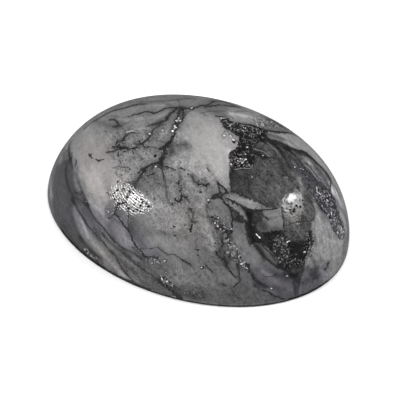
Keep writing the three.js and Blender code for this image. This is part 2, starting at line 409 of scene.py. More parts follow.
# Bright magnesite grains and chips, as (x, y, radius, brightness) in pixels.
GRAINS = [
    (192, 108, 1.1, 0.9), (149.5, 134, 1.2, 0.85), (162.5, 130.5, 1.1, 0.7), (178.6, 118, 1.3, 1.0),
    (176.6, 121, 1.3, 0.95), (180.4, 120.6, 1.0, 0.95), (174.6, 125.6, 1.2, 1.0), (175.8, 127.6, 1.1, 0.95),
    (172.6, 130.8, 1.7, 1.0), (155.5, 166.5, 0.9, 0.7), (162, 151, 0.9, 0.6), (221, 118, 1.0, 1.0),
    (231, 118, 0.9, 0.9), (230, 125.5, 0.8, 0.9), (232, 123.5, 0.9, 0.9), (231, 128, 0.7, 0.8),
    (243, 130.5, 0.9, 0.8), (258, 126, 0.9, 0.6), (267.5, 121.5, 1.0, 0.6), (247, 147, 1.2, 0.75),
    (237, 143, 0.8, 0.8), (226, 132.5, 1.1, 0.5), (245.5, 154, 1.3, 0.65), (240.5, 158.5, 0.9, 0.9),
    (246, 159.5, 1.0, 0.95), (238, 160.5, 0.8, 0.9), (242, 163, 1.0, 0.95), (244, 160.5, 0.8, 0.7),
    (231, 164, 1.0, 0.95), (252, 155, 1.0, 0.4), (252, 177, 1.2, 0.45), (263, 155.5, 0.8, 0.9),
    (272.5, 162, 1.5, 0.25), (208.5, 200, 0.8, 0.9), (215, 223, 0.8, 0.9), (218, 226, 0.8, 0.95),
    (224, 230.5, 0.7, 0.9), (231.5, 229, 0.8, 0.9), (228, 217, 1.2, 0.3), (106.8, 210.5, 1.2, 0.65),
    (108.8, 212.6, 0.9, 0.5), (94, 258, 1.1, 0.4), (91, 256, 1.0, 0.5), (164.5, 261, 1.2, 0.7),
    (157.5, 262, 0.9, 0.5), (152, 263, 0.9, 0.5), (161, 276, 0.9, 0.6), (167, 281.5, 1.1, 0.7),
    (166, 272.5, 1.0, 0.35), (151, 258.5, 0.9, 0.35), (194, 293, 0.9, 0.35), (184.5, 293, 0.8, 0.4),
    (234, 246, 1.0, 0.6), (231, 247, 0.8, 0.5), (237, 249, 0.7, 0.7), (238.2, 252.7, 0.7, 1.0),
    (239, 256.9, 0.7, 1.0), (240.5, 260.6, 0.8, 0.6), (244.5, 262, 1.0, 0.6), (241.6, 264, 1.6, 0.85),
    (247, 268.5, 0.9, 0.6), (244.6, 267, 0.8, 0.4), (297.6, 223.8, 1.0, 0.8), (313.4, 246, 0.9, 0.5),
    (313.6, 236.4, 0.8, 0.5), (314.6, 251, 0.9, 0.5), (201, 261.5, 0.9, 0.7), (201.5, 267.5, 0.8, 0.9),
    (271, 288.5, 1.0, 0.8), (287, 276, 1.1, 0.6), (304.5, 252, 1.0, 0.9), (295, 167, 0.9, 0.8),
    (301, 168.5, 0.8, 0.7), (303.5, 169.5, 0.8, 0.6), (307, 176.5, 0.8, 0.5), (116, 206, 0.6, 0.5),
    (228, 244, 0.9, 0.4), (225, 236, 1.0, 0.35), (282, 250, 0.8, 0.5), (224.5, 135.5, 1.4, 1.0),
    (230, 136, 1.3, 1.0), (233.5, 140, 1.0, 0.9), (225, 118.5, 0.7, 0.9), (252, 122.5, 0.7, 0.8),
    (257, 125, 0.7, 0.9), (262, 124, 0.7, 0.9), (256, 120.5, 0.6, 0.8), (277, 240, 0.8, 0.45),
    (279, 258, 0.8, 0.4), (312, 250, 1.3, 0.4), (308, 243, 1.0, 0.4),
]
# Bright chips that are long: (half width, brightness, points).
SLIVERS = [
    (0.7, 0.9, [(256, 234), (258, 236), (260, 238)]),
    (0.5, 0.5, [(234, 169.5), (238, 169), (242, 168), (250, 168.5)]),
    (0.6, 0.5, [(248, 164), (250.5, 166)]),
    (0.6, 0.45, [(254, 149), (259, 150), (264, 152), (268, 155), (270, 157)]),
    (0.8, 0.5, [(305, 165), (309, 168), (313, 173), (317, 179)]),
    (0.9, 0.35, [(224, 136), (229, 136), (232, 138)]),
    (0.8, 0.35, [(135, 120), (140, 120), (145, 119)]),
    (0.8, 0.7, [(126.5, 132.3), (130, 131), (133.5, 130.8)]),
    (1.0, 0.3, [(81, 219), (83, 223), (85, 228), (87, 232)]),
    (0.6, 0.5, [(219, 181.5), (223, 185), (226, 188)]),
    (0.5, 0.5, [(240, 124.7), (247, 125.5), (253, 127)]),
    (0.6, 0.9, [(287, 243), (288, 241.5), (290, 241)]),
    (0.5, 0.6, [(297, 224.5), (300, 223.7)]),
    (0.9, 0.35, [(284, 177.5), (288, 177.5)]),
    (0.7, 0.4, [(310, 188), (313, 193)]),
    (0.6, 0.3, [(176, 262), (177, 272), (179, 284)]),
]
# The pale stone's grey level in the photograph, and its soft-edged patches: (grey level, softness and
# raggedness in mm, corners).
PALE_TONE = 124
PALE_PATCHES = [
    (138, 0.6, 0.3, [(85, 127), (100, 106), (130, 90), (190, 86), (205, 100), (182, 106), (150, 110),
                     (125, 116), (100, 124)]),
    (140, 0.8, 0.3, [(58, 140), (80, 116), (96, 122), (112, 130), (114, 150), (119, 170), (118, 196),
                     (104, 206), (92, 200), (84, 186), (75, 172), (72, 152)]),
    (152, 1.1, 0.3, [(88, 168), (104, 160), (117, 170), (122, 184), (112, 193), (92, 192), (82, 182)]),
    (158, 0.5, 0.2, [(230, 108), (250, 104), (270, 112), (264, 126), (248, 123), (238, 121), (230, 118)]),
    (138, 0.8, 0.3, [(164, 150), (180, 146), (190, 158), (196, 170), (190, 180), (172, 176), (166, 166)]),
    (150, 0.7, 0.25, [(187, 109), (200, 111), (216, 116), (221, 121), (224, 129), (230, 134), (238, 143),
                      (232, 152), (230, 165), (231, 190), (221, 186), (212, 179), (203, 175), (194, 166),
                      (186, 158), (178, 145), (178, 134), (182, 122)]),
    (160, 0.8, 0.3, [(192, 118), (210, 118), (236, 144), (231, 176), (214, 178), (196, 160), (188, 140)]),
    (173, 0.8, 0.3, [(206, 130), (224, 132), (236, 144), (231, 176), (216, 176), (206, 160)]),
    (104, 0.35, 0.2, [(140, 178), (147, 169), (157, 167), (162, 172), (163, 182), (160, 189), (148, 192),
                      (138, 189), (136, 183)]),
    (92, 0.5, 0.1, [(258, 129), (272, 132), (280, 134), (281, 144), (268, 139)]),
    (112, 0.7, 0.4, [(168, 143), (178, 142), (188, 143), (188, 148), (179, 153), (171, 157)]),
    (114, 0.6, 0.2, [(188, 182), (200, 186), (214, 190), (222, 196), (214, 203), (198, 206), (186, 204)]),
    (130, 0.8, 0.3, [(140, 212), (160, 206), (185, 206), (215, 222), (218, 240), (214, 252), (190, 252),
                     (165, 250), (150, 240), (140, 225)]),
    (118, 0.5, 0.2, [(208, 202), (228, 204), (232, 214), (228, 224), (214, 220), (206, 212)]),
    (114, 0.5, 0.2, [(92, 200), (104, 206), (114, 208), (124, 222), (134, 242), (146, 258), (130, 256),
                     (116, 244), (104, 232), (94, 218)]),
    (98, 0.9, 0.4, [(130, 218), (138, 220), (146, 226), (148, 240), (150, 248), (158, 250), (160, 258),
                    (146, 256), (136, 250), (132, 240), (127, 226)]),
    (98, 0.3, 0.1, [(30, 160), (60, 150), (72, 158), (74, 175), (77, 190), (84, 198), (90, 206), (76, 204),
                    (74, 215), (78, 226), (81, 236), (86, 245), (96, 254), (100, 262), (90, 280), (50, 260),
                    (25, 210)]),
    (74, 0.35, 0.15, [(56, 168), (62, 160), (71, 158), (74, 175), (77, 190), (84, 198), (89, 206), (76, 206),
                      (74, 215), (78, 226), (81, 236), (86, 245), (96, 254), (100, 262), (90, 275), (60, 240),
                      (54, 215), (53, 190)]),
    (100, 0.25, 0.1, [(59, 150), (68, 151), (69, 158), (63, 161), (57, 161)]),
    (118, 0.4, 0.2, [(74, 165), (80, 168), (86, 186), (84, 192), (78, 190), (75, 180)]),
    (112, 0.3, 0.1, [(74, 207), (80, 212), (85, 222), (90, 232), (95, 240), (104, 248), (114, 260),
                     (106, 264), (96, 253), (88, 245), (82, 234), (77, 224), (74, 214)]),
    (90, 0.4, 0.15, [(82, 205), (88, 209), (94, 219), (102, 229), (112, 240), (122, 250), (134, 259),
                     (146, 271), (136, 275), (122, 264), (110, 249), (98, 235), (88, 222), (81, 212)]),
    (106, 0.5, 0.2, [(98, 262), (112, 262), (122, 274), (132, 282), (126, 292), (104, 280)]),
    (90, 0.4, 0.2, [(122, 262), (136, 267), (150, 276), (160, 285), (168, 294), (150, 298), (134, 290),
                    (126, 276)]),
    (100, 0.4, 0.2, [(144, 256), (158, 256), (170, 262), (172, 274), (166, 279), (158, 277), (150, 271),
                     (144, 262)]),
    (106, 0.6, 0.2, [(164, 256), (190, 262), (214, 262), (238, 284), (236, 290), (180, 290), (170, 276)]),
    (106, 0.8, 0.3, [(186, 232), (216, 226), (222, 244), (226, 262), (214, 268), (192, 262)]),
    (118, 0.4, 0.15, [(173, 257), (180, 259), (184, 286), (177, 287)]),
    (87, 0.35, 0.15, [(160, 288), (176, 287), (190, 285), (212, 288), (240, 289), (262, 290), (276, 295),
                      (292, 300), (290, 320), (230, 326), (160, 312)]),
    (96, 0.3, 0.2, [(216, 218), (226, 224), (231, 232), (231, 240), (236, 250), (242, 258), (248, 268),
                    (240, 268), (232, 262), (224, 256), (220, 244), (218, 232)]),
    (118, 0.3, 0.1, [(233, 222), (246, 222), (247, 232), (250, 241), (240, 244), (232, 240), (230, 232),
                     (232, 226)]),
    (116, 0.4, 0.15, [(238, 243), (250, 241), (255, 249), (263, 258), (272, 268), (258, 272), (250, 266),
                      (244, 256)]),
    (76, 0.4, 0.2, [(214, 218), (222, 222), (226, 232), (222, 244), (230, 262), (226, 268), (219, 258),
                    (216, 240)]),
    (126, 0.4, 0.1, [(258, 262), (266, 262), (272, 268), (271, 275), (262, 275), (256, 268)]),
    (140, 0.2, 0.1, [(262, 271), (268, 271), (271, 274), (266, 276), (262, 275)]),
    (70, 0.3, 0.15, [(254, 276), (262, 279), (270, 284), (266, 289), (256, 288)]),
    (66, 0.5, 0.2, [(268, 272), (284, 271), (304, 270), (302, 278), (296, 284), (278, 283), (268, 279)]),
    (94, 0.4, 0.2, [(238, 266), (247, 268), (252, 276), (254, 288), (240, 288), (236, 278)]),
    (90, 0.4, 0.2, [(254, 268), (262, 262), (272, 268), (284, 272), (294, 278), (296, 296), (280, 298),
                    (268, 288), (256, 280)]),
    (92, 0.4, 0.2, [(300, 284), (305, 268), (320, 270), (322, 284), (312, 296), (299, 300)]),
    (60, 0.35, 0.2, [(311, 271), (318, 270), (320, 275), (317, 279), (311, 278)]),
    (156, 0.35, 0.15, [(314, 203), (319, 211), (326, 217), (331, 226), (337, 238), (342, 246), (341, 258),
                       (328, 262), (312, 262), (306, 262), (308, 256), (311, 248), (315, 240), (312, 231),
                       (311, 222), (315, 216)]),
    (136, 0.5, 0.2, [(306, 262), (320, 260), (340, 258), (352, 250), (346, 276), (330, 290), (322, 278),
                     (316, 268)]),
    # The pale strip along the right edge: pale stone, made brighter still with painted light where its steep
    # wall catches reflected light.
    (180, 0.2, 0.1, [(331, 184), (336, 190), (340, 199), (343, 208), (341, 207), (338, 201), (334, 195),
                     (331, 190)]),
    (166, 0.4, 0.1, [(340, 200), (346, 214), (349, 232), (347, 252), (356, 256), (362, 210), (350, 190)]),
    (166, 0.25, 0.1, [(264, 131), (276, 133), (290, 133), (304, 130), (330, 150), (350, 180), (356, 205),
                      (344, 205), (337, 189), (330, 177), (322, 167), (314, 160), (306, 153), (300, 150),
                      (292, 147), (284, 143), (276, 140), (268, 137)]),
    (140, 0.12, 0.08, [(261, 213), (266, 210), (273, 210), (282, 208), (284, 216), (284, 226), (276, 227),
                       (268, 224), (262, 221), (264, 217)]),
    (90, 0.3, 0.15, [(257, 223), (264, 220), (270, 227), (278, 230), (262, 233), (256, 229)]),
    (154, 0.1, 0.05, [(226, 193), (236, 194), (244, 197), (252, 199), (262, 204), (272, 209), (262, 210),
                      (250, 210), (244, 208), (236, 204), (228, 200)]),
    (140, 0.1, 0.05, [(225, 200), (232, 202), (239, 207), (244, 214), (248, 221), (242, 219), (237, 214),
                      (231, 209), (228, 206)]),
    (104, 0.12, 0.05, [(255, 244), (262, 245), (269, 250), (274, 256), (278, 262), (286, 271), (277, 269),
                       (267, 262), (261, 256), (256, 250)]),
    (126, 0.1, 0.05, [(217.5, 182), (225, 188), (229, 193), (221, 194), (218, 187)]),
]
# Soft smears, where the stone is cloudier or clearer, and in places painted light: (half width, change in
# grey level, points).
SMEARS = [
    # The left end and the bands that run down from it.
    (2.0, -42, [(84, 129), (92, 122), (100, 117), (112, 111), (124, 108), (136, 105), (145, 104)]),
    (1.6, 22, [(70, 142), (80, 128), (92, 116), (106, 107), (122, 101), (142, 97.5), (165, 95.5), (180, 96)]),
    (4.0, -24, [(97, 121), (104, 124), (112, 126), (119, 127)]),
    (4.0, -16, [(109, 117), (118, 117)]),
    (4.0, 12, [(100, 115), (101, 120)]),
    (5.0, 14, [(86, 132), (92, 140)]),
    # Painted light along the left edge.
    (5.0, 40, [(51, 165), (50, 180), (51, 195)]),
    (4.0, 28, [(61, 153), (60, 163)]),
    (2.5, 12, [(62, 152), (67, 148), (70, 144)]),
    (3.5, -14, [(70, 143), (70, 151)]),
    (2.4, -14, [(66, 162), (66, 175), (69, 188), (74, 200)]),
    (1.6, -28, [(69, 148), (70, 158), (73, 168), (77, 180), (82, 190), (86, 200)]),
    (2.0, 20, [(72, 154), (74, 166), (77, 180), (80, 190)]),
    (2.2, -20, [(75, 160), (76, 172), (80, 186)]),
    (3.0, -12, [(78, 183), (79, 192)]),
    (3.0, 16, [(79, 194), (82, 201)]),
    (3.5, 20, [(80, 173), (82, 180)]),
    (5.0, 13, [(82, 168), (90, 178), (94, 190), (98, 202)]),
    (3.5, 14, [(92, 168), (100, 182), (104, 192)]),
    (3.4, 32, [(88, 202), (95, 207), (103, 211)]),
    (2.0, 14, [(96, 206), (104, 216), (110, 222)]),
    (4.0, -22, [(109, 187), (111, 201)]),
    (1.5, -22, [(72, 198), (78, 210), (84, 220), (92, 232), (102, 244), (112, 256), (120, 266), (128, 276)]),
    (1.5, -20, [(80, 192), (86, 204), (92, 214), (100, 224), (110, 236), (120, 246), (132, 254), (143, 260)]),
    (3.0, 20, [(79, 214), (84, 226), (90, 238), (98, 248), (108, 260), (120, 272)]),
    (1.4, 26, [(80, 217), (84, 226), (88, 238)]),
    (3.6, -20, [(80, 215), (88, 227), (98, 240)]),
    (2.5, -16, [(64, 226), (72, 240), (82, 252), (92, 260), (102, 268)]),
    (3.4, -42, [(81, 237), (87, 245), (95, 253), (101, 259)]),
    (2.0, -22, [(94, 228), (102, 240), (112, 252)]),
    (1.6, -22, [(98, 226), (106, 238), (116, 247), (130, 256)]),
    (1.4, 18, [(94, 222), (103, 233), (113, 243)]),
    (2.2, 20, [(102, 238), (112, 248), (124, 258), (136, 268)]),
    (1.6, -18, [(112, 252), (124, 264), (134, 273)]),
    (3.8, -24, [(109, 226), (114, 238)]),
    (4.0, -18, [(108, 212), (112, 219)]),
    (4.0, -26, [(119, 209), (120, 221)]),
    (3.5, 14, [(120, 220), (124, 232), (126, 244)]),
    (4.0, -15, [(128, 207), (134, 208)]),
    (4.0, -14, [(128, 214), (134, 220)]),
    (4.0, -12, [(130, 226), (142, 243)]),
    (2.5, 28, [(130, 240), (136, 247), (141, 252)]),
    (3.6, 42, [(121, 275), (130, 279), (136, 282)]),
    (3.0, 14, [(131, 273), (136, 279)]),
    (2.5, -22, [(140, 262), (150, 270), (160, 279), (170, 288), (180, 296)]),
    (4.0, -12, [(138, 264), (162, 268)]),
    # The top, and the stone round the branching seam.
    (1.3, -30, [(119, 106), (128, 103), (140, 102), (152, 102), (165, 101), (178, 100), (190, 98.5)]),
    (2.4, 20, [(150, 106), (157, 105.5), (164, 105.5)]),
    (3.5, -14, [(186, 98), (194, 99)]),
    (3.5, 20, [(198, 98), (206, 99)]),
    (3.6, -20, [(181, 107), (190, 109)]),
    (2.2, -26, [(168, 104), (174, 108), (168, 114), (160, 120), (150, 126)]),
    (2.6, -20, [(181, 108), (179, 116), (176, 124), (173, 133), (170, 141), (165, 148)]),
    (2.0, 24, [(118, 119), (130, 120), (143, 118)]),
    (2.8, 24, [(150, 118), (160, 116), (168, 112)]),
    (3.0, 18, [(140, 130), (150, 124), (160, 118), (168, 114)]),
    (3.0, 14, [(158, 140), (164, 132), (168, 126)]),
    (5.0, 16, [(131, 115), (134, 128), (131, 142), (130, 158), (131, 172)]),
    (4.0, 14, [(140, 118), (144, 130), (146, 142)]),
    (4.0, -14, [(112, 143), (124, 146), (136, 148)]),
    (5.0, 13, [(142, 150), (152, 156)]),
    (3.5, -12, [(149, 144), (152, 151)]),
    (4.0, 18, [(170, 132), (171, 139)]),
    (4.0, 16, [(178, 134), (176, 140)]),
    (3.0, -14, [(181, 124), (180, 130)]),
    (3.0, -10, [(166, 142), (175, 145), (183, 145), (189, 146)]),
    (3.0, -24, [(169, 144), (172, 152)]),
    (3.5, -12, [(168, 165), (171, 148)]),
    (2.6, -16, [(172, 152), (168, 157), (163, 160)]),
    (2.6, -24, [(161, 162), (152, 165), (144, 170), (139, 177), (135, 184)]),
    (3.5, 14, [(128, 176), (130, 182)]),
    (3.0, -50, [(130, 184.5), (133.5, 189)]),
    (3.0, -30, [(134, 184), (138, 188), (140, 193)]),
    (3.0, -14, [(120, 195), (122, 200)]),
    (4.0, 12, [(148, 196), (152, 201)]),
    # The pale middle, down to the lower edge.
    (4.0, 16, [(160, 174), (161, 184), (158, 192)]),
    (2.0, -22, [(164, 178), (166, 190), (168, 201)]),
    (3.0, 12, [(178, 164), (186, 172), (190, 184)]),
    (6.0, 20, [(180, 163), (190, 167), (202, 171)]),
    (2.5, -24, [(200, 168), (204, 173), (206, 178)]),
    (2.0, -28, [(206, 165), (210, 170), (214, 176), (218, 182)]),
    (3.0, -18, [(192, 176), (198, 184), (208, 185)]),
    (5.0, 14, [(186, 184), (196, 189), (206, 187)]),
    (3.5, 18, [(199, 184), (203, 196), (200, 206)]),
    (2.5, -24, [(180, 170), (180, 182), (178, 192), (182, 200)]),
    (4.0, 16, [(183, 194), (190, 199)]),
    (4.0, 22, [(150, 205), (158, 207), (168, 207)]),
    (1.5, -18, [(188, 206), (189, 216), (190, 226)]),
    (1.5, -20, [(206, 206), (208, 214), (211, 222)]),
    (3.5, -14, [(208, 206), (224, 211)]),
    (4.5, -16, [(200, 214), (212, 219)]),
    (3.0, 18, [(220, 222), (222, 231)]),
    (4.6, -28, [(151, 232), (166, 234), (178, 234)]),
    (4.0, 30, [(206, 228), (212, 238), (215, 247)]),
    (1.5, -16, [(213, 232), (216, 244), (219, 252)]),
    (1.2, -18, [(196, 240), (197, 250), (200, 260)]),
    (3.0, -16, [(222, 236), (232, 239)]),
    (3.0, -26, [(229, 233), (230, 242)]),
    (3.5, -26, [(228, 252), (231, 262), (233, 270)]),
    (3.0, 14, [(182, 272), (186, 280)]),
    (4.0, 26, [(169, 289), (175, 297)]),
    (3.5, 28, [(171, 297.5), (186, 301)]),
    (3.8, -24, [(190, 297.5), (203, 297)]),
    (3.6, -14, [(220, 284), (230, 286.5), (246, 288)]),
    # The leaf-shaped crystals and the grey stone under them.
    (4.0, 14, [(226, 183), (228, 192)]),
    (1.5, 28, [(228, 196), (238, 199), (250, 202)]),
    (3.0, -36, [(230, 194.5), (238, 197), (246, 200)]),
    (1.5, -40, [(243, 206), (245, 213), (248, 221)]),
    (3.5, -18, [(260, 204), (264, 208)]),
    (3.5, -22, [(259, 213), (261, 221)]),
    (3.6, -24, [(259, 224), (265, 229)]),
    (4.0, -24, [(276, 226), (284, 231)]),
    (3.0, -24, [(238, 217), (242, 230)]),
    (3.2, -46, [(257, 246), (262, 252), (264, 259)]),
    (2.5, 14, [(260, 265), (263, 271)]),
    (3.5, -16, [(270, 264), (272, 270)]),
    (1.6, 24, [(262, 271), (267, 274), (271, 276)]),
    (3.0, -12, [(248, 266), (254, 269)]),
    (2.0, -22, [(252, 271), (256, 279), (262, 284)]),
    (3.5, -20, [(264, 286), (274, 288.5), (284, 288)]),
    (2.0, 14, [(268, 276), (276, 282), (282, 288)]),
    (3.3, -28, [(277, 275), (289, 278.5)]),
    (2.6, -34, [(284, 273), (290, 275), (296, 276.5)]),
    (3.0, 14, [(286, 286), (292, 290)]),
    # The edge at the upper right, and the pale wedge inside it.
    (1.4, -30, [(236, 112), (246, 111), (256, 114)]),
    (3.4, -64, [(264, 117), (271, 120), (278, 124), (285, 128.5)]),
    (3.5, 52, [(230, 113.5), (240, 115), (254, 118)]),
    (3.0, 26, [(277, 126), (288, 131)]),
    (3.3, -58, [(266, 134.5), (274, 137), (282, 139.5)]),
    (1.2, -30, [(268, 134), (280, 137), (292, 143), (300, 148)]),
    (1.0, 16, [(274, 132.5), (286, 136.5), (298, 143)]),
    (3.5, 40, [(297, 136), (304, 140)]),
    # The charcoal crystal.
    (4.0, -16, [(230, 144), (233, 149)]),
    (3.0, 40, [(230.5, 151), (230.5, 159)]),
    (4.0, -20, [(240, 158), (230, 178)]),
    (3.0, -28, [(239.5, 154.5), (241.5, 160.5)]),
    (3.5, 14, [(250, 146), (253, 158)]),
    (3.0, -32, [(259, 147), (263, 158)]),
    (2.0, 18, [(263, 143), (268, 147), (272, 151)]),
    (1.2, 26, [(266, 142), (272, 146), (276, 152)]),
    (1.4, 26, [(268, 144), (275, 150), (281, 158), (285, 165)]),
    (1.2, -22, [(272, 143), (280, 151), (286, 160), (290, 168)]),
    (1.4, 24, [(279, 146), (287, 153), (293, 161), (296, 167)]),
    (1.2, -20, [(286, 148), (294, 155), (300, 162), (306, 170)]),
    (2.5, 18, [(290, 145), (294, 150)]),
    (3.0, 18, [(297, 145), (304, 150)]),
    (1.6, 22, [(292, 151), (301, 156), (309, 163)]),
    (1.3, -24, [(290, 157), (298, 165), (304, 173), (309, 181)]),
    (1.2, 24, [(262, 161), (266, 166)]),
    (3.2, 24, [(299, 157), (304, 162)]),
    (3.0, -50, [(308, 155), (314, 161)]),
    (3.3, 32, [(310, 163.5), (315, 170.5)]),
    (3.0, -20, [(320, 154), (324, 162)]),
    (3.0, -12, [(320, 174), (330, 180)]),
    # Painted glow above the right highlight.
    (3.2, 44, [(299, 178), (301, 188), (299, 198)]),
    (3.0, -24, [(292, 192), (289, 195), (284, 199)]),
    (3.0, 20, [(311, 193), (314, 200)]),
    (3.0, 18, [(278, 206), (284, 210)]),
    (3.0, -12, [(301, 214), (303, 222)]),
    (3.5, -26, [(289, 244), (292, 250)]),
    # The right end, with painted light on the pale strip along its outer edge.
    (1.3, 18, [(334, 187), (338, 196), (341, 206)]),
    (3.2, 66, [(330, 184), (333, 192)]),
    (2.2, 44, [(333.5, 184), (337, 193)]),
    (3.5, -38, [(319, 195), (325, 202)]),
    (3.5, -18, [(318, 205), (324, 217)]),
    (2.5, 24, [(343, 200), (347, 210), (350, 220)]),
    (3.2, 46, [(341, 214), (345, 222), (345, 232)]),
    (3.3, 48, [(341, 228), (342, 243)]),
    (3.0, -20, [(348, 233), (348, 242)]),
    (1.2, 20, [(337, 236), (340, 246), (340, 254)]),
    (1.2, -20, [(314, 218), (315, 232), (317, 246)]),
    (1.2, 22, [(318, 216), (322, 228), (324, 242)]),
    (1.2, -22, [(322, 218), (328, 230), (330, 244)]),
    (1.2, 26, [(328, 240), (334, 242)]),
    (1.2, -16, [(330, 246), (332, 258)]),
    (3.5, -34, [(310, 233), (310, 241)]),
    (3.5, -20, [(322, 234), (321, 242)]),
    (3.6, -34, [(309, 253), (314, 262), (318, 269)]),
    (4.0, -22, [(319, 255), (328, 268)]),
    (2.6, -18, [(303, 270), (312, 269), (322, 268)]),
    (2.6, -16, [(300, 283), (310, 280), (320, 276)]),
    (3.0, -16, [(320, 272), (324, 282)]),
]
# Closed outlines of the charcoal stone, which has a hard ragged edge.
CHARCOAL = [
    [(221, 120), (224, 118), (229, 119), (233, 122), (240, 123.5), (248, 124.5), (254, 125.5), (259, 127),
     (263, 128.5), (268, 131), (266, 134), (270, 138.5), (276, 140), (284, 143), (290, 146), (296, 149),
     (302, 151), (309, 155), (316, 161), (323, 168), (328, 174), (331, 182), (331, 190), (335.5, 201),
     (338.5, 212), (342, 222), (345.5, 231), (344, 238), (341, 240), (336, 235), (332, 228), (329, 220),
     (326, 214), (321, 210), (317, 203), (313, 204), (315, 208), (315.5, 216), (311, 222), (300, 222),
     (287, 225), (284, 222), (283, 216), (281, 208), (276, 208.5), (268, 208), (262, 205), (256, 202),
     (251, 199), (247, 197.5), (241, 196), (237, 193), (232, 192.5), (231, 185), (230, 178), (230, 165),
     (229, 158), (230, 152), (233, 150), (237, 147), (238, 142), (239, 137), (234, 134), (230, 131),
     (225, 128), (222, 124)],
    [(243, 209), (250, 209), (256, 210.5), (262, 210), (261, 213), (263, 217), (261, 221), (257, 223),
     (257, 228), (262, 232), (270, 231), (277, 230), (284, 229), (284, 222), (300, 220), (311, 222),
     (311, 230), (312, 240), (309, 248), (306, 257), (305, 264), (304, 271), (300, 283), (298, 297),
     (294, 296), (293, 284), (290, 275), (284, 271), (276, 268), (276, 260), (271, 252), (264, 246),
     (255, 244), (249.5, 246), (246, 236), (244.5, 228), (244.5, 221), (248, 220), (245, 213)],
    [(231, 210), (234, 210), (238, 213), (242, 218), (246, 221), (240, 221.5), (235, 220), (233, 216)],
    [(252, 271), (256, 279), (264, 283.5), (269, 287), (262, 288.5), (254, 287), (252, 280)],
]
# Patches inside the charcoal, as the pale ones are given.
DARK_TONE = 64
DARK_PATCHES = [
    (76, 0.6, 0.2, [(252, 160), (276, 156), (300, 164), (312, 182), (318, 210), (300, 222), (284, 210),
                    (262, 204), (252, 190)]),
    (58, 0.4, 0.2, [(230, 168), (250, 170), (252, 190), (244, 197), (231, 192)]),
    (31, 0.4, 0.2, [(221, 118), (262, 128), (264, 146), (250, 156), (230, 152), (238, 140)]),
    (66, 0.4, 0.1, [(279, 158), (291, 158), (294, 174), (282, 176)]),
    (84, 0.4, 0.2, [(290, 172), (302, 176), (308, 190), (304, 206), (292, 206), (286, 190)]),
    (88, 0.3, 0.1, [(302, 205), (312, 203), (316, 208), (316, 217), (311, 222), (300, 221)]),
    (78, 0.4, 0.2, [(286, 222), (311, 221), (310, 234), (300, 240), (288, 234)]),
    (14, 0.5, 0.2, [(244, 209), (258, 211), (254, 222), (258, 232), (264, 242), (254, 246), (247, 230)]),
    (24, 0.6, 0.2, [(262, 232), (284, 229), (300, 241), (312, 238), (306, 262), (282, 270), (268, 252)]),
    (58, 0.3, 0.2, [(290, 272), (304, 271), (300, 284), (298, 297), (294, 296)]),
    (100, 0.15, 0.1, [(303, 157), (310, 158), (318, 166), (326, 175), (334, 188), (331, 194), (325, 188),
                      (318, 181), (310, 172), (303, 164)]),
    (106, 0.3, 0.15, [(284, 204), (300, 203), (303, 214), (298, 222), (286, 224), (283, 214)]),
    (92, 0.25, 0.1, [(270, 184), (282, 184), (283, 190), (272, 192)]),
    (84, 0.2, 0.1, [(289, 150), (300, 151), (304, 156), (292, 158)]),
    (88, 0.4, 0.15, [(282, 226), (290, 223), (300, 228), (302, 236), (292, 241), (284, 237)]),
    (44, 0.3, 0.1, [(266, 133), (276, 138), (290, 144), (304, 150), (302, 156), (290, 152), (278, 148),
                    (268, 142)]),
    (112, 0.2, 0.1, [(303, 156), (310, 159), (318, 166), (326, 174), (330, 182), (329, 190), (323, 184),
                     (316, 176), (309, 168), (303, 162)]),
    (84, 0.15, 0.1, [(252, 147), (256, 143), (262, 142), (267, 146), (270, 151), (271, 157), (266, 156),
                     (259, 153), (253, 150)]),
    (24, 0.3, 0.1, [(238, 136), (262, 138), (256, 142), (252, 147), (256, 156), (250, 166), (236, 166),
                    (230, 158), (232, 151), (238, 146)]),
    (70, 0.4, 0.15, [(254, 213), (260, 212), (262, 219), (255, 221)]),
    (84, 0.4, 0.15, [(330, 222), (338, 216), (346, 224), (348, 236), (341, 242), (334, 232)]),
    (62, 0.4, 0.1, [(250, 268), (270, 282), (270, 290), (250, 290)]),
    (50, 0.4, 0.15, [(274, 238), (283, 235), (288, 241), (289, 254), (284, 262), (277, 261), (273, 250)]),
]
# Where the pale stone is peppered with graphite dots and hairlines: (strength, corners).
PEPPERED = [
    (0.6, [(118, 132), (150, 124), (178, 130), (196, 160), (214, 182), (222, 200), (232, 240), (240, 262),
           (214, 272), (196, 240), (170, 236), (150, 226), (146, 200), (128, 186), (112, 170), (108, 148)]),
    (1.0, [(108, 138), (140, 134), (160, 140), (160, 160), (140, 178), (118, 172)]),
    (0.5, [(96, 250), (130, 256), (190, 268), (240, 284), (290, 296), (230, 306), (150, 292)]),
    (0.5, [(296, 240), (330, 250), (340, 262), (320, 286), (300, 292)]),
    (1.3, [(214, 220), (224, 224), (232, 232), (238, 248), (248, 266), (236, 268), (222, 258), (215, 240)]),
    (0.4, [(310, 208), (330, 222), (342, 246), (340, 262), (308, 262), (312, 236)]),
    (0.1, [(190, 118), (216, 122), (232, 140), (228, 172), (206, 166), (192, 150)]),
    (0.1, [(60, 140), (90, 126), (108, 150), (112, 190), (96, 196), (78, 170)]),
]
# Where fine cracks roughen the polish: (strength, corners).
CRACKLED = [
    (1.3, [(112, 189), (120, 183), (128, 184), (136, 192), (146, 200), (152, 206), (146, 211), (136, 213),
           (122, 208), (114, 202)]),
    (0.9, [(130, 191), (138, 193), (146, 200), (146, 206), (138, 205), (131, 199)]),
    (1.3, [(283, 202), (290, 202.5), (296, 200), (304, 198), (304, 209), (297, 217), (283, 215)]),
    (0.9, [(292, 179), (299, 181), (304, 190), (303, 199), (297, 200), (295.5, 192)]),
]
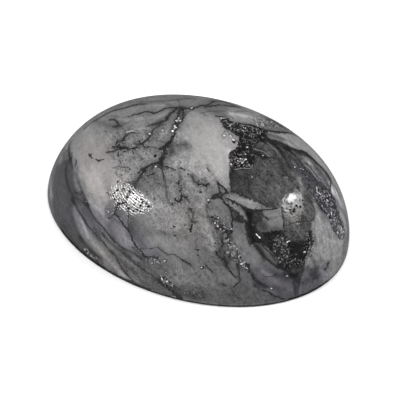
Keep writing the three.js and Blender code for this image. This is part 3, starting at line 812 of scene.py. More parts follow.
# Where graphite has pulled out in polishing and left pits, with painted glints in them: (strength, corners).
PITTED = [
    (0.6, [(221, 120), (229, 119), (240, 123), (254, 126), (264, 129), (266, 136), (264, 144), (260, 152),
           (256, 160), (253, 168), (244, 168), (232, 168), (229, 158), (231, 152), (237, 147), (239, 137),
           (230, 131), (224, 127)]),
    (0.9, [(222, 120), (230, 120), (240, 124), (254, 127), (262, 130), (260, 136), (246, 137), (236, 133),
           (227, 128)]),
    (0.8, [(234, 154), (246, 152), (252, 160), (250, 167), (236, 167)]),
    (0.35, [(293, 165), (299, 167), (306, 172), (312, 178), (320, 186), (316, 196), (309, 190), (304, 181),
            (298, 173)]),
    (1.0, [(311, 188), (318, 186), (325, 189), (331, 193), (336, 203), (340, 214), (344, 224), (346, 231),
           (344, 238), (341, 239), (337, 235), (332, 227), (329, 219), (325, 213), (319, 206), (314, 197)]),
    (0.4, [(266, 236), (275, 233), (288, 240), (300, 243), (309, 238), (311, 246), (306, 256), (303, 264),
           (298, 266), (290, 270), (282, 270), (276, 266), (272, 256), (268, 248)]),
    (0.7, [(274, 238), (283, 235), (288, 241), (289, 254), (284, 262), (277, 261), (273, 250)]),
    (0.65, [(290, 257), (300, 254), (304, 262), (296, 268), (284, 268)]),
    (0.8, [(215, 219), (222, 222), (226, 228), (232, 229), (232, 240), (238, 246), (242, 256), (250, 266),
           (246, 270), (240, 266), (232, 260), (225, 256), (221, 244), (217, 232)]),
    (0.75, [(145, 257), (158, 257), (167, 259), (166, 263), (150, 264)]),
    (0.85, [(84, 247), (91, 251), (100, 260), (104, 265), (96, 263), (88, 257), (82, 251)]),
    (0.7, [(306, 232), (313, 234), (316, 244), (312, 256), (306, 262), (304, 248)]),
    (0.7, [(246, 117), (258, 115), (268, 119), (264, 127), (254, 124)]),
    (0.9, [(214, 216), (222, 219), (226, 227), (220, 232), (214, 224)]),
    (1.0, [(160, 275), (168, 277), (173, 286), (166, 290), (161, 284)]),
    (0.5, [(183, 289), (202, 290), (202, 298), (186, 296)]),
    (1.0, [(256, 119), (266, 118), (277, 122), (283, 127), (274, 128), (262, 127.5), (255, 124)]),
]
# The middles of the rings of fine scratches in the crackled zones, and the rings' spacing in mm.
RING_MIDDLES = [(150, 177), (288, 201)]
RING_SPACING = 0.25
# Warm and cool casts in the grey: (cast, softness in mm, corners). Above 0 is warm and below 0 violet.
CASTS = [
    (1.0, 1.0, [(80, 140), (112, 138), (122, 170), (146, 200), (130, 208), (98, 202), (82, 180)]),
    (-0.8, 0.8, [(48, 160), (74, 165), (88, 204), (122, 213), (150, 245), (164, 266), (130, 257), (96, 235),
                 (76, 232), (50, 210)]),
    (0.7, 0.5, [(90, 246), (112, 246), (126, 262), (140, 284), (124, 288), (96, 258)]),
    (0.7, 0.8, [(166, 205), (210, 205), (216, 240), (176, 244)]),
    (0.7, 0.8, [(190, 120), (228, 132), (232, 180), (200, 172)]),
    (-1.0, 0.8, [(254, 265), (300, 270), (326, 264), (330, 292), (280, 304), (250, 284)]),
    (-1.0, 0.6, [(296, 160), (322, 176), (332, 195), (338, 215), (336, 232), (318, 202), (300, 176)]),
    (-0.5, 0.6, [(332, 182), (344, 205), (352, 240), (340, 240), (338, 215)]),
    (1.6, 0.25, [(238, 123), (248, 124.5), (257, 126), (256, 128), (246, 126.5), (238, 125)]),
    (1.0, 0.4, [(284, 204), (300, 203), (303, 216), (298, 224), (285, 224)]),
    (-0.35, 0.6, [(226, 216), (240, 222), (243, 240), (250, 262), (246, 268), (236, 246)]),
]


# Noise and outlines on the stone
def smooth_step(value, low, high):
    """0 up to `low`, 1 from `high`, and a smooth change between them."""
    share = np.clip((value - low) / (high - low), 0, 1)
    return share * share * (3 - 2 * share)


# Lattice noise repeats after this many bumps, and is read this many bumps away from the origin.
LATTICE = 32
LATTICE_START = 100


def lattice_noise(points, size, seed):
    """Smooth noise from -1 to 1, with bumps about `size` millimetres across."""
    values = np.random.default_rng(seed).uniform(-1, 1, (LATTICE, LATTICE, LATTICE))
    place = points / size + LATTICE_START
    cell = np.floor(place).astype(int)
    step = smooth_step(place - cell, 0, 1)
    total = np.zeros(len(points))
    for corner in np.ndindex(2, 2, 2):
        weight = np.prod(np.where(np.array(corner) == 1, step, 1 - step), axis=1)
        i, j, k = ((cell + corner) % LATTICE).T
        total += weight * values[i, j, k]
    return total


def rough_noise(points, size, seed):
    """Three octaves of noise, from about -1 to 1."""
    return sum(lattice_noise(points, size / 2**k, seed + k) / 1.6**k for k in range(3)) / 1.4


def smooth_path(pixels, closed=False, step=1.4):
    """A smooth curve through the pixels, with a point about every `step` pixels."""
    pixels = np.asarray(pixels, float)
    lead, tail = pixels[:1], pixels[-1:]
    if closed:
        lead, tail = pixels[-1:], pixels[1:2]
        pixels = np.concatenate([pixels, pixels[:1]])
    padded = np.concatenate([lead, pixels, tail])
    path = []
    for before, start, end, after in zip(padded, padded[1:], padded[2:], padded[3:]):
        count = max(1, round(float(np.linalg.norm(end - start)) / step))
        t = (np.arange(count) / count)[:, None]
        path.append(start + t * (end - before) / 2 + t**2 * (2 * before - 5 * start + 4 * end - after) / 2
                    + t**3 * (3 * start - before - 3 * end + after) / 2)
    return np.concatenate(path + [pixels[-1:]])


def flat_chart(share, angle):
    """The dome spread flat round its top, where it can be told what lies inside an outline."""
    return np.stack([share * np.cos(angle), share * np.sin(angle)], -1)


def on_stone(paths):
    """Photo paths carried onto the dome: each as (points in mm, flat chart)."""
    share, angle = onto_dome(np.concatenate(paths))
    ends = np.cumsum([len(path) for path in paths])[:-1]
    return list(zip(np.split(dome_point(share, angle), ends), np.split(flat_chart(share, angle), ends)))


def way_from_path(points, path, closed=False):
    """For each point, the way to it from the nearest place on a path."""
    starts, ends = (path, np.roll(path, -1, axis=0)) if closed else (path[:-1], path[1:])
    along = ends - starts
    squared_length = np.maximum((along**2).sum(1), 1e-12)
    ahead = points @ along.T - (starts * along).sum(1)
    share = np.clip(ahead / squared_length, 0, 1)
    squared_gap = (points**2).sum(1)[:, None] - 2 * points @ starts.T + (starts**2).sum(1)
    squared_gap += share * (share * squared_length - 2 * ahead)
    nearest = squared_gap.argmin(1)
    share = np.take_along_axis(share, nearest[:, None], 1)
    return points - starts[nearest] - share * along[nearest]


def inside(chart_points, corners):
    """Which chart points lie inside a closed outline."""
    is_inside = np.zeros(len(chart_points), bool)
    x, y = chart_points.T
    for (x0, y0), (x1, y1) in zip(corners, np.roll(corners, -1, axis=0)):
        if y0 != y1:
            is_inside ^= ((y0 > y) != (y1 > y)) & (x < (x1 - x0) * (y - y0) / (y1 - y0) + x0)
    return is_inside


# The stone's mesh
DOME_RINGS = 160
BACK_RINGS = 60
# The edge below the dome, as (inset, height), with its corners eased as they are when a stone is ground.
EDGE = [(0, 0.5), (0, 0.4), (0, 0.34), (0.02, 0.29), (0.06, 0.25), (0.18, 0.147), (0.3, 0.045), (0.34, 0.015),
        (0.38, 0.002), (0.43, 0)]
# How far inside the edge the rings of the flat back begin.
BACK_INSET = 0.55
# Each ring has this many points more than the one within it.
RING_STEP = 6
# A ring's share grows by this much over the edge, and by this much over a whole radius of the back.
EDGE_SHARE = 0.02
BACK_SHARE = 0.97


def ring_angles(count):
    return np.arange(count) * (2 * math.pi / count)


def oval_ring(angle, scale, height):
    """A level ring of the girdle's proportions."""
    return np.stack([LENGTH / 2 * scale * np.cos(angle), WIDTH / 2 * scale * np.sin(angle),
                     np.full(len(angle), height)], -1)


def build_rings():
    """Rings from the top of the dome, over the edge, to the middle of the flat back.

    Each is (points, share, angle): the share is 1 at the girdle and 2 at the middle of the back.
    """
    rings = []
    for k in range(DOME_RINGS + 1):
        angle = ring_angles(max(1, RING_STEP * k))
        share = np.full(len(angle), k / DOME_RINGS)
        rings.append((dome_point(share, angle), share, angle))
    angle = ring_angles(RING_STEP * DOME_RINGS)
    for k, (inset, height) in enumerate(EDGE, 1):
        points = oval_ring(angle, 1 - inset / (LENGTH / 2), height)
        rings.append((points, np.full(len(angle), 1 + EDGE_SHARE * k / len(EDGE)), angle))
    for k in range(BACK_RINGS, -1, -1):
        angle = ring_angles(max(1, RING_STEP * k))
        scale = k / BACK_RINGS * (1 - BACK_INSET / (LENGTH / 2))
        rings.append((oval_ring(angle, scale, 0.0), np.full(len(angle), 2 - BACK_SHARE * scale), angle))
    return rings


def stitch(inner, outer):
    """Triangles between two rings of point numbers, counted round the same way from the same angle."""
    faces = []
    i = j = 0
    while i < len(outer) or (j < len(inner) and len(inner) > 1):
        outer_turn = (i + 1) / len(outer) <= (j + 1) / len(inner) or j == len(inner)
        if i < len(outer) and (outer_turn or len(inner) == 1):
            faces.append((outer[i], outer[(i + 1) % len(outer)], inner[j % len(inner)]))
            i += 1
        else:
            faces.append((outer[i % len(outer)], inner[(j + 1) % len(inner)], inner[j]))
            j += 1
    return faces


def build_faces(counts):
    """Triangles between rings with these numbers of points, all facing outwards."""
    faces = []
    start = 0
    for inner_count, outer_count in zip(counts, counts[1:]):
        middle = start + inner_count
        end = middle + outer_count
        if outer_count >= inner_count:
            faces += stitch(range(start, middle), range(middle, end))
        else:
            faces += [tuple(reversed(face)) for face in stitch(range(middle, end), range(start, middle))]
        start = middle
    return faces


stone_rings = build_rings()
# Each point of the stone's surface, and its share of the way down the dome and along the back.
surface, surface_share, surface_angle = (np.concatenate(parts) for parts in zip(*stone_rings))
surface_chart = flat_chart(surface_share, surface_angle)
mesh = bpy.data.meshes.new("pinolite_cabochon")
mesh.from_pydata((surface * MM).tolist(), [], build_faces([len(points) for points, _, _ in stone_rings]))
mesh.polygons.foreach_set("use_smooth", [True] * len(mesh.polygons))
mesh.update()
normals = np.empty(surface.size)
mesh.vertex_normals.foreach_get("vector", normals)
normals = normals.reshape(-1, 3)

# Wavering that makes the edges of drawn patches ragged.
wobble = rough_noise(surface, 1.1, 11)
fine_wobble = rough_noise(surface, 0.5, 23)
# How much of each point's pattern is drawn from the photograph. The rest is on the side that it doesn't show.
drawn_share = smooth_step((normals * (CAMERA_PLACE - surface)).sum(1) / CAMERA_DISTANCE, -0.22, -0.02)


# Lines and spots on the mesh. A mark is (half width in mm, strength, path on the stone).
# Half the length in pixels of the short line that stands for a spot.
SPOT_STUB = 0.2
# A spot of graphite is firmer than a seam, which breaks up along its way.
SPOT_FIRMNESS = 1.25
# How far round a mark its nearness is worked out in mm, and the number that stands for farther away.
MARK_REACH = 0.55
FAR = 60.0
# The largest distance that is stored on the mesh, in half widths.
FARTHEST_KEPT = 20.0
# Smoke reaches this far from the middle of a seam in mm, and is this strong beside a strong and long one.
SMOKE_REACH = 1.6
SMOKE_STRENGTH = 0.22
# A smear reaches this many of its half widths.
SMEAR_REACH = 2.2


def carried(strokes):
    """Strokes drawn in pixels, as marks on the stone."""
    placed = on_stone([path for _, _, path in strokes])
    return [(width / PIXELS_PER_MM, strength, path)
            for (width, strength, _), (path, _) in zip(strokes, placed)]


def drawn_marks(lines, spots, spot_firmness):
    """The photograph's lines and round spots of one kind, as marks on the stone."""
    strokes = [(half_width, strength, smooth_path(path)) for half_width, strength, path in lines]
    strokes += [(radius, spot_firmness * strength, np.array([(x - SPOT_STUB, y), (x + SPOT_STUB, y)]))
                for x, y, radius, strength in spots]
    return carried(strokes)


def box_round(path, reach):
    """The numbers of the surface's points in the box that holds a path and the reach round it."""
    return np.flatnonzero(((surface > path.min(0) - reach) & (surface < path.max(0) + reach)).all(1))


def nearest_marks(marks):
    """The offset, distance and strength of the mark nearest to each point.

    The offset is the way from the mark in half widths of it, and the distance is that way's length.
    """
    offset = np.full((len(surface), 3), FAR)
    distance = np.full(len(surface), FAR)
    strength = np.zeros(len(surface))
    for half_width, mark_strength, path in marks:
        near = box_round(path, MARK_REACH)
        away = way_from_path(surface[near], path) / half_width
        length = np.linalg.norm(away, axis=1)
        is_nearest = length < distance[near]
        chosen = near[is_nearest]
        offset[chosen], distance[chosen] = away[is_nearest], length[is_nearest]
        strength[chosen] = mark_strength
    return offset, distance, strength


def smoke_beside(marks):
    """How much grey smoke there is in the stone beside its seams, from 0 to 1."""
    smoke = np.zeros(len(surface))
    for half_width, strength, path in marks:
        near = box_round(path, SMOKE_REACH)
        distance = np.linalg.norm(way_from_path(surface[near], path), axis=1)
        fading = np.exp(-((distance / (0.18 + 2.2 * half_width)) ** 1.5))
        fullness = min(1.0, np.linalg.norm(np.diff(path, axis=0), axis=1).sum() / 1.5)
        smoke[near] = 1 - (1 - smoke[near]) * (1 - SMOKE_STRENGTH * strength * fullness * fading)
    return smoke


# Patches on the mesh
# Depth inside an outline is worked out up to this far, in mm.
DEPTH_LIMIT = 2.5
# The darkest grey level of charcoal and of pale stone, and the palest of both.
DARKEST_CHARCOAL, DARKEST_PALE, PALEST = 14, 20, 235


def outlines(groups):
    """Closed photo outlines carried onto the dome."""
    return on_stone([smooth_path(path, closed=True)[:-1] for path in groups])


def depth_inside(path, path_chart):
    """How deep each point lies inside a closed path on the stone: below 0 outside it, down to the limit."""
    margin = 2 * DEPTH_LIMIT / MERIDIAN
    low, high = path_chart.min(0) - margin, path_chart.max(0) + margin
    near = ((surface_chart > low) & (surface_chart < high)).all(1)
    depth = np.full(len(surface), -DEPTH_LIMIT)
    distance = np.linalg.norm(way_from_path(surface[near], path, closed=True), axis=1)
    is_inside = inside(surface_chart[near], path_chart)
    depth[near] = np.where(is_inside, distance, -np.minimum(distance, DEPTH_LIMIT))
    return depth


def painted(base, patches):
    """A level over the mesh, from patches laid one over another: (level, softness, raggedness, corners)."""
    level = np.full(len(surface), float(base))
    shapes = outlines([patch[-1] for patch in patches])
    for (patch_level, softness, raggedness, _), (path, path_chart) in zip(patches, shapes):
        depth = depth_inside(path, path_chart) + raggedness * (wobble + 0.5 * fine_wobble)
        level += (patch_level - level) * smooth_step(depth, -softness, softness)
    return level


def smeared(strokes):
    """The change in grey level that soft-edged strokes make together."""
    change = np.zeros(len(surface))
    drawn = [(half_width, level, smooth_path(path, step=3)) for half_width, level, path in strokes]
    for half_width, level, path in carried(drawn):
        near = box_round(path, SMEAR_REACH * half_width)
        away = np.linalg.norm(way_from_path(surface[near], path), axis=1) / half_width
        away *= 1 + 0.35 * wobble[near] + 0.25 * fine_wobble[near]
        change[near] += level * np.exp(-away**2)
    return change


drawn_seams_and_edge_shade = drawn_marks(SEAMS_AND_EDGE_SHADE, SPOTS, SPOT_FIRMNESS)
drawn_grains = drawn_marks(SLIVERS, GRAINS, 1.0)
smoke = smoke_beside(drawn_seams_and_edge_shade)
smears = smeared(SMEARS)
pale_tone = np.clip(painted(PALE_TONE, PALE_PATCHES) + smears, DARKEST_PALE, PALEST)
dark_tone = np.clip(painted(DARK_TONE, DARK_PATCHES) + smears, DARKEST_CHARCOAL, PALEST)
charcoal = np.max([depth_inside(*outline) for outline in outlines(CHARCOAL)], axis=0)
pitted = painted(0, [(strength, 0.15, 0.15, corners) for strength, corners in PITTED])
peppered = painted(0.25, [(strength, 0.6, 0.3, corners) for strength, corners in PEPPERED])
crackled = painted(0, [(strength, 0.5, 0.2, corners) for strength, corners in CRACKLED])
tint = painted(0, [(cast, softness, 0.3, corners) for cast, softness, corners in CASTS])
ring_middles, _ = on_stone([np.array(RING_MIDDLES, float)])[0]
ring = np.min([np.linalg.norm(surface - middle, axis=1) for middle in ring_middles], axis=0)


# The side that the photograph doesn't show is the same rock: crystals with graphite in and between them.
# A mark on the wall is kept where the surface turns away from the camera by more than this cosine.
OUT_OF_SIGHT = -0.12
# Millimetres of wall to a radian round the stone.
WALL_RADIUS = 11.0
# Half the length and width of the oval that the marks on the back keep to.
MARKED_BACK = np.array([15.158, 11.024])
WALK_STEP = 0.2
WALK_WANDER = 0.34
CRYSTALS = 150


def random_walk(chance, start, heading, length, ground):
    """A wandering path over a ground that places (x, y) in the world."""
    places = [start]
    for _ in range(int(length / WALK_STEP)):
        heading += chance.normal(0, WALK_WANDER)
        places.append(places[-1] + WALK_STEP * np.array([math.cos(heading), math.sin(heading)]))
    return ground(np.array(places))


def on_wall(places):
    """Millimetres round the stone and up from the girdle, put on the dome."""
    return dome_point(np.clip(1 - places[:, 1] / MERIDIAN, 0, 1), places[:, 0] / WALL_RADIUS)


def on_back(places):
    return np.column_stack([places, np.zeros(len(places))])


def is_behind(path):
    """Whether a path on the wall lies where the camera can't see it."""
    outward = path / np.array([LENGTH / 2, WIDTH / 2, HEIGHT]) ** 2
    return (outward @ CAMERA_BACK / np.linalg.norm(outward, axis=1)).max() < OUT_OF_SIGHT


def is_on_back(path):
    return np.linalg.norm(path[:, :2] / MARKED_BACK, axis=1).max() < 1


def unseen_marks(seed, wall_count, back_count, half_widths, strengths, lengths):
    """Marks of the same kinds as the drawn ones, for the wall behind and the flat back."""
    chance = np.random.default_rng(seed)
    places = [(on_wall, is_behind, (-4, 0.3), (38, 9))] * wall_count
    places += [(on_back, is_on_back, (-13, -9), (13, 9))] * back_count
    marks = []
    for ground, is_kept, low, high in places:
        start = chance.uniform(low, high)
        path = random_walk(chance, start, chance.uniform(0, 2 * math.pi), chance.uniform(*lengths), ground)
        half_width, strength = chance.uniform(*half_widths), chance.uniform(*strengths)
        if is_kept(path):
            marks.append((half_width, strength, path))
    return marks


def grown_crystals(count, seed):
    """Leaf-shaped crystals grown through the whole stone.

    For each point: the number of its crystal, and the gap in mm to the edge of it.
    """
    chance = np.random.default_rng(seed)
    first, second = np.full(len(surface), FAR), np.full(len(surface), FAR)
    owner = np.zeros(len(surface), int)
    for number in range(count):
        middle = chance.uniform((-16, -12, -1), (16, 12, 12))
        axis = chance.normal(size=3)
        axis /= np.linalg.norm(axis)
        stretch = chance.uniform(1.5, 3.2)
        away = surface - middle
        along = away @ axis
        aside = np.maximum((away**2).sum(1) - along**2, 0)
        length = np.sqrt(aside + (along / stretch) ** 2) * stretch**0.3
        is_nearer = length < first
        second = np.where(is_nearer, first, np.minimum(second, length))
        owner[is_nearer] = number
        first = np.minimum(first, length)
    return owner, (second - first) / 2


def joined(drawn, unseen):
    """The drawn pattern where the photograph shows the stone, and the unseen one behind."""
    return unseen + (drawn - unseen) * drawn_share


unseen_seams = unseen_marks(3, 90, 34, (0.05, 0.12), (0.6, 1.0), (1.0, 7.0))
unseen_spots = unseen_marks(4, 160, 70, (0.06, 0.14), (0.5, 1.0), (0.2, 0.4))
unseen_grains = unseen_marks(6, 60, 12, (0.06, 0.11), (0.5, 0.9), (0.2, 0.3))
crystal, crystal_gap = grown_crystals(CRYSTALS, 8)
crystal_gap += 0.12 * wobble + 0.1 * fine_wobble
crystal_chance = np.random.default_rng(12)
crystal_tone = crystal_chance.uniform(98, 172, CRYSTALS)[crystal]
is_charcoal = (crystal_chance.uniform(size=CRYSTALS) < 0.17)[crystal]
crystal_grit = crystal_chance.uniform(size=CRYSTALS)[crystal]
groundmass = rough_noise(surface, 3.5, 31)
unseen_charcoal = np.where(is_charcoal, crystal_gap, smooth_step(groundmass, -0.05, 0.7) - 0.12 - crystal_gap)
unseen_charcoal = np.clip(unseen_charcoal, -DEPTH_LIMIT, DEPTH_LIMIT)
seam_smoke = 0.45 * np.exp(-((np.maximum(crystal_gap, 0) / 0.22) ** 1.3))

pale_tone = joined(pale_tone, crystal_tone + 10 * wobble)
dark_tone = joined(dark_tone, 58 + 22 * groundmass + 14 * wobble)
charcoal = joined(charcoal, unseen_charcoal)
smoke = joined(smoke, np.maximum(smoke, seam_smoke))
pitted = joined(pitted, smooth_step(unseen_charcoal, 0.05, 0.3) * smooth_step(groundmass, 0.1, 0.4))
peppered = joined(peppered, 0.15 + 0.6 * crystal_grit)
tint = joined(tint, 0.7 * rough_noise(surface, 5.0, 37))

# Where it is pitted, the surface sinks by about HOLLOW_DEPTH all over and by PIT_DEPTH more in its pits.
# Nothing stands above the ground dome.
PIT_DEPTH = 0.07
HOLLOW_DEPTH = 0.012
pits = smooth_step(lattice_noise(surface, 0.34, 41) + 0.5 * lattice_noise(surface, 0.22, 43), 0.15, 0.7)
on_dome = smooth_step(-surface_share, -1.0, -0.985)
sink = (PIT_DEPTH * pits + HOLLOW_DEPTH * (1 + wobble)) * pitted * on_dome
mesh.vertices.foreach_set("co", ((surface - normals * sink[:, None]) * MM).ravel())

# The stone's greys are darkened to this share, because the lamps are brighter than plain white needs.
ALBEDO_SHARE = 0.6


def grey(tone):
    """The reflectance of a photo grey level."""
    share = np.asarray(tone, float) / 255
    return ALBEDO_SHARE * np.where(share > 0.04045, ((share + 0.055) / 1.055) ** 2.4, share / 12.92)


# What the material reads from the mesh.
fields = {
    "pale": grey(pale_tone),
    "dark": grey(dark_tone),
    "charcoal": charcoal,
    "pitted": pitted * on_dome,
    "peppered": peppered,
    "smoke": smoke,
    "crackled": crackled,
    "ring": ring,
    "tint": tint,
    # Painted shade on the girdle, the wall just above the flat back.
    "painted_girdle_shade": smooth_step(-surface[:, 2], -0.62, -0.5) * smooth_step(surface[:, 2], 0.0, 0.2),
    "back": smooth_step(surface_share, 1.0, 1.01),
}
all_marks = {"seam": drawn_seams_and_edge_shade + unseen_seams + unseen_spots, "grain": drawn_grains + unseen_grains}
for kind, marks in all_marks.items():
    offset, distance, strength = nearest_marks(marks)
    fields[kind + "_offset"] = offset
    fields[kind + "_distance"] = np.minimum(distance, FARTHEST_KEPT)
    fields[kind + "_strength"] = strength
for name, values in fields.items():
    data_type, key = ("FLOAT", "value") if values.ndim == 1 else ("FLOAT_VECTOR", "vector")
    mesh.attributes.new(name, data_type, "POINT").data.foreach_set(key, values.astype(np.float32).ravel())
mesh.update()

stone = bpy.data.objects.new("pinolite_cabochon", mesh)
bpy.context.scene.collection.objects.link(stone)
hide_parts("stone")
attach(stone, "root")


# Shader arithmetic
def feed(socket, value):
    """Links a value to a socket, or sets a constant on it."""
    if isinstance(value, Value):
        socket.id_data.links.new(value.output, socket)
    else:
        socket.default_value = value


class Value:
    """A shader socket's output that takes part in ordinary arithmetic."""

    def __init__(self, output):
        self.output = output

    def calculate(self, operation, *values):
        """Adds a Math node beside this value."""
        node = self.output.id_data.nodes.new("ShaderNodeMath")
        node.operation = operation
        for socket, value in zip(node.inputs, values):
            feed(socket, value)
        return Value(node.outputs[0])

    def __add__(self, other):
        return self.calculate("ADD", self, other)

    def __radd__(self, other):
        return self.calculate("ADD", other, self)

    def __sub__(self, other):
        return self.calculate("SUBTRACT", self, other)

    def __rsub__(self, other):
        return self.calculate("SUBTRACT", other, self)

    def __mul__(self, other):
        return self.calculate("MULTIPLY", self, other)

    def __rmul__(self, other):
        return self.calculate("MULTIPLY", other, self)

    def __abs__(self):
        return self.calculate("ABSOLUTE", self)

    def sine(self):
        return self.calculate("SINE", self)

    def at_most(self, other):
        return self.calculate("MINIMUM", self, other)

    def at_least(self, other):
        return self.calculate("MAXIMUM", self, other)

    def within_one(self):
        return self.at_most(1).at_least(0)

    def towards(self, other, share):
        """This value, moved the given share of the way to another."""
        return self + (other - self) * share

    def beside(self, output):
        """Another output of the same node."""
        return Value(self.output.node.outputs[output])


class Material:
    """A node material being built."""

    def __init__(self, name):
        self.material = bpy.data.materials.new(name)
        self.material.use_nodes = True
        self.material.node_tree.nodes.clear()

    def node(self, kind, settings=None, values=None, output=0):
        """Adds any node: its settings first, then its sockets' values or links."""
        node = self.material.node_tree.nodes.new(kind)
        for name, setting in (settings or {}).items():
            setattr(node, name, setting)
        for name, value in (values or {}).items():
            feed(node.inputs[name], value)
        return Value(node.outputs[output]) if node.outputs else None

    def finish(self, shader):
        self.node("ShaderNodeOutputMaterial", None, {"Surface": shader})
        return self.material

    def field(self, name, output="Fac"):
        """A field that is stored on the mesh."""
        return self.node("ShaderNodeAttribute", {"attribute_name": name}, output=output)

    def step(self, value, low, high):
        """0 at low, 1 at high, and a smooth change between them."""
        return self.node("ShaderNodeMapRange", {"interpolation_type": "SMOOTHSTEP"},
                         {"Value": value, "From Min": low, "From Max": high}, output="Result")

    def moved(self, place, way):
        return self.node("ShaderNodeVectorMath", {"operation": "ADD"}, {0: place, 1: way})

    def scaled(self, place, scale):
        return self.node("ShaderNodeVectorMath", {"operation": "SCALE"}, {0: place, "Scale": scale})

    def length(self, vector):
        return self.node("ShaderNodeVectorMath", {"operation": "LENGTH"}, {0: vector}, output="Value")

    def along(self, place, degrees, stretch):
        """The place in axes that lie along the photograph, turned by an angle and stretched on each axis."""
        cosine, sine = math.cos(math.radians(degrees)), math.sin(math.radians(degrees))
        right = CAMERA_RIGHT * cosine + CAMERA_UP * sine
        up = CAMERA_UP * cosine - CAMERA_RIGHT * sine
        parts = [self.node("ShaderNodeVectorMath", {"operation": "DOT_PRODUCT"},
                           {0: place, 1: tuple(axis * size)}, output="Value")
                 for axis, size in zip((right, up, CAMERA_BACK), stretch)]
        return self.node("ShaderNodeCombineXYZ", None, dict(zip("XYZ", parts)))

    def noise(self, place, per_mm, detail=2.0, roughness=0.5):
        """Noise of about -1 to 1."""
        cloud = self.node("ShaderNodeTexNoise", None, {
            "Vector": place, "Scale": per_mm, "Detail": detail, "Roughness": roughness}, output="Fac")
        return (cloud - 0.5) * 5.0

    def wander(self, vector, per_mm, reach, place=None):
        """A vector moved about by up to the reach, by noise read at the vector itself or at a place."""
        shift = self.node("ShaderNodeTexNoise", None, {
            "Vector": place or vector, "Scale": per_mm, "Detail": 2.0}, output="Color")
        return self.moved(vector, self.scaled(self.moved(shift, (-0.5, -0.5, -0.5)), 3 * reach))

    def cells(self, place, per_mm):
        """The distance from the middle of the nearest cell, and a random number for that cell."""
        distance = self.node("ShaderNodeTexVoronoi", None, {"Vector": place, "Scale": per_mm}, "Distance")
        pick = self.node("ShaderNodeSeparateColor", None, {"Color": distance.beside("Color")}, "Red")
        return distance, pick

    def dots(self, place, per_mm, share, radius):
        """Scattered dots in the given share of the cells, with the radius as a share of a cell."""
        distance, pick = self.cells(place, per_mm)
        is_dotted = self.step(pick, 1.02 - share, 1.06 - share)
        return self.step(distance + (pick - 1) * 0.25, radius, radius * 0.55) * is_dotted

    def hairlines(self, place, per_mm, width):
        """Thin wandering lines."""
        return self.step(abs(self.noise(place, per_mm, 4, 0.55)), width, 0.0)

    def splinters_and_glints(self, place, layers, stretch, edge, picks):
        """Small slender bright marks in layers, each of which is (direction in degrees, shift of its
        pattern).
        """
        found = None
        for degrees, shift in layers:
            lying = self.along(self.moved(place, shift), degrees, stretch)
            distance, pick = self.cells(self.wander(lying, 1.0, 0.25), 1.0)
            layer = self.step(distance, *edge) * self.step(pick, *picks)
            found = found.at_least(layer) if found else layer
        return found


# The layers of flecks in the pitted graphite, and of the longer, brighter splinters in its most pitted parts.
# Both are partly crystal left in the pits and partly painted glints off graphite flakes.
FLECK_AND_GLINT_LAYERS = [(-62, (0.0, 1.3, 2.1)), (-20, (3.7, 1.3, 2.1)), (30, (7.4, 1.3, 2.1)), (84, (11.1, 1.3, 2.1))]
SPLINTER_AND_GLINT_LAYERS = [(-75, (5.1, 0.0, 1.7)), (-40, (5.1, 2.3, 1.7))]


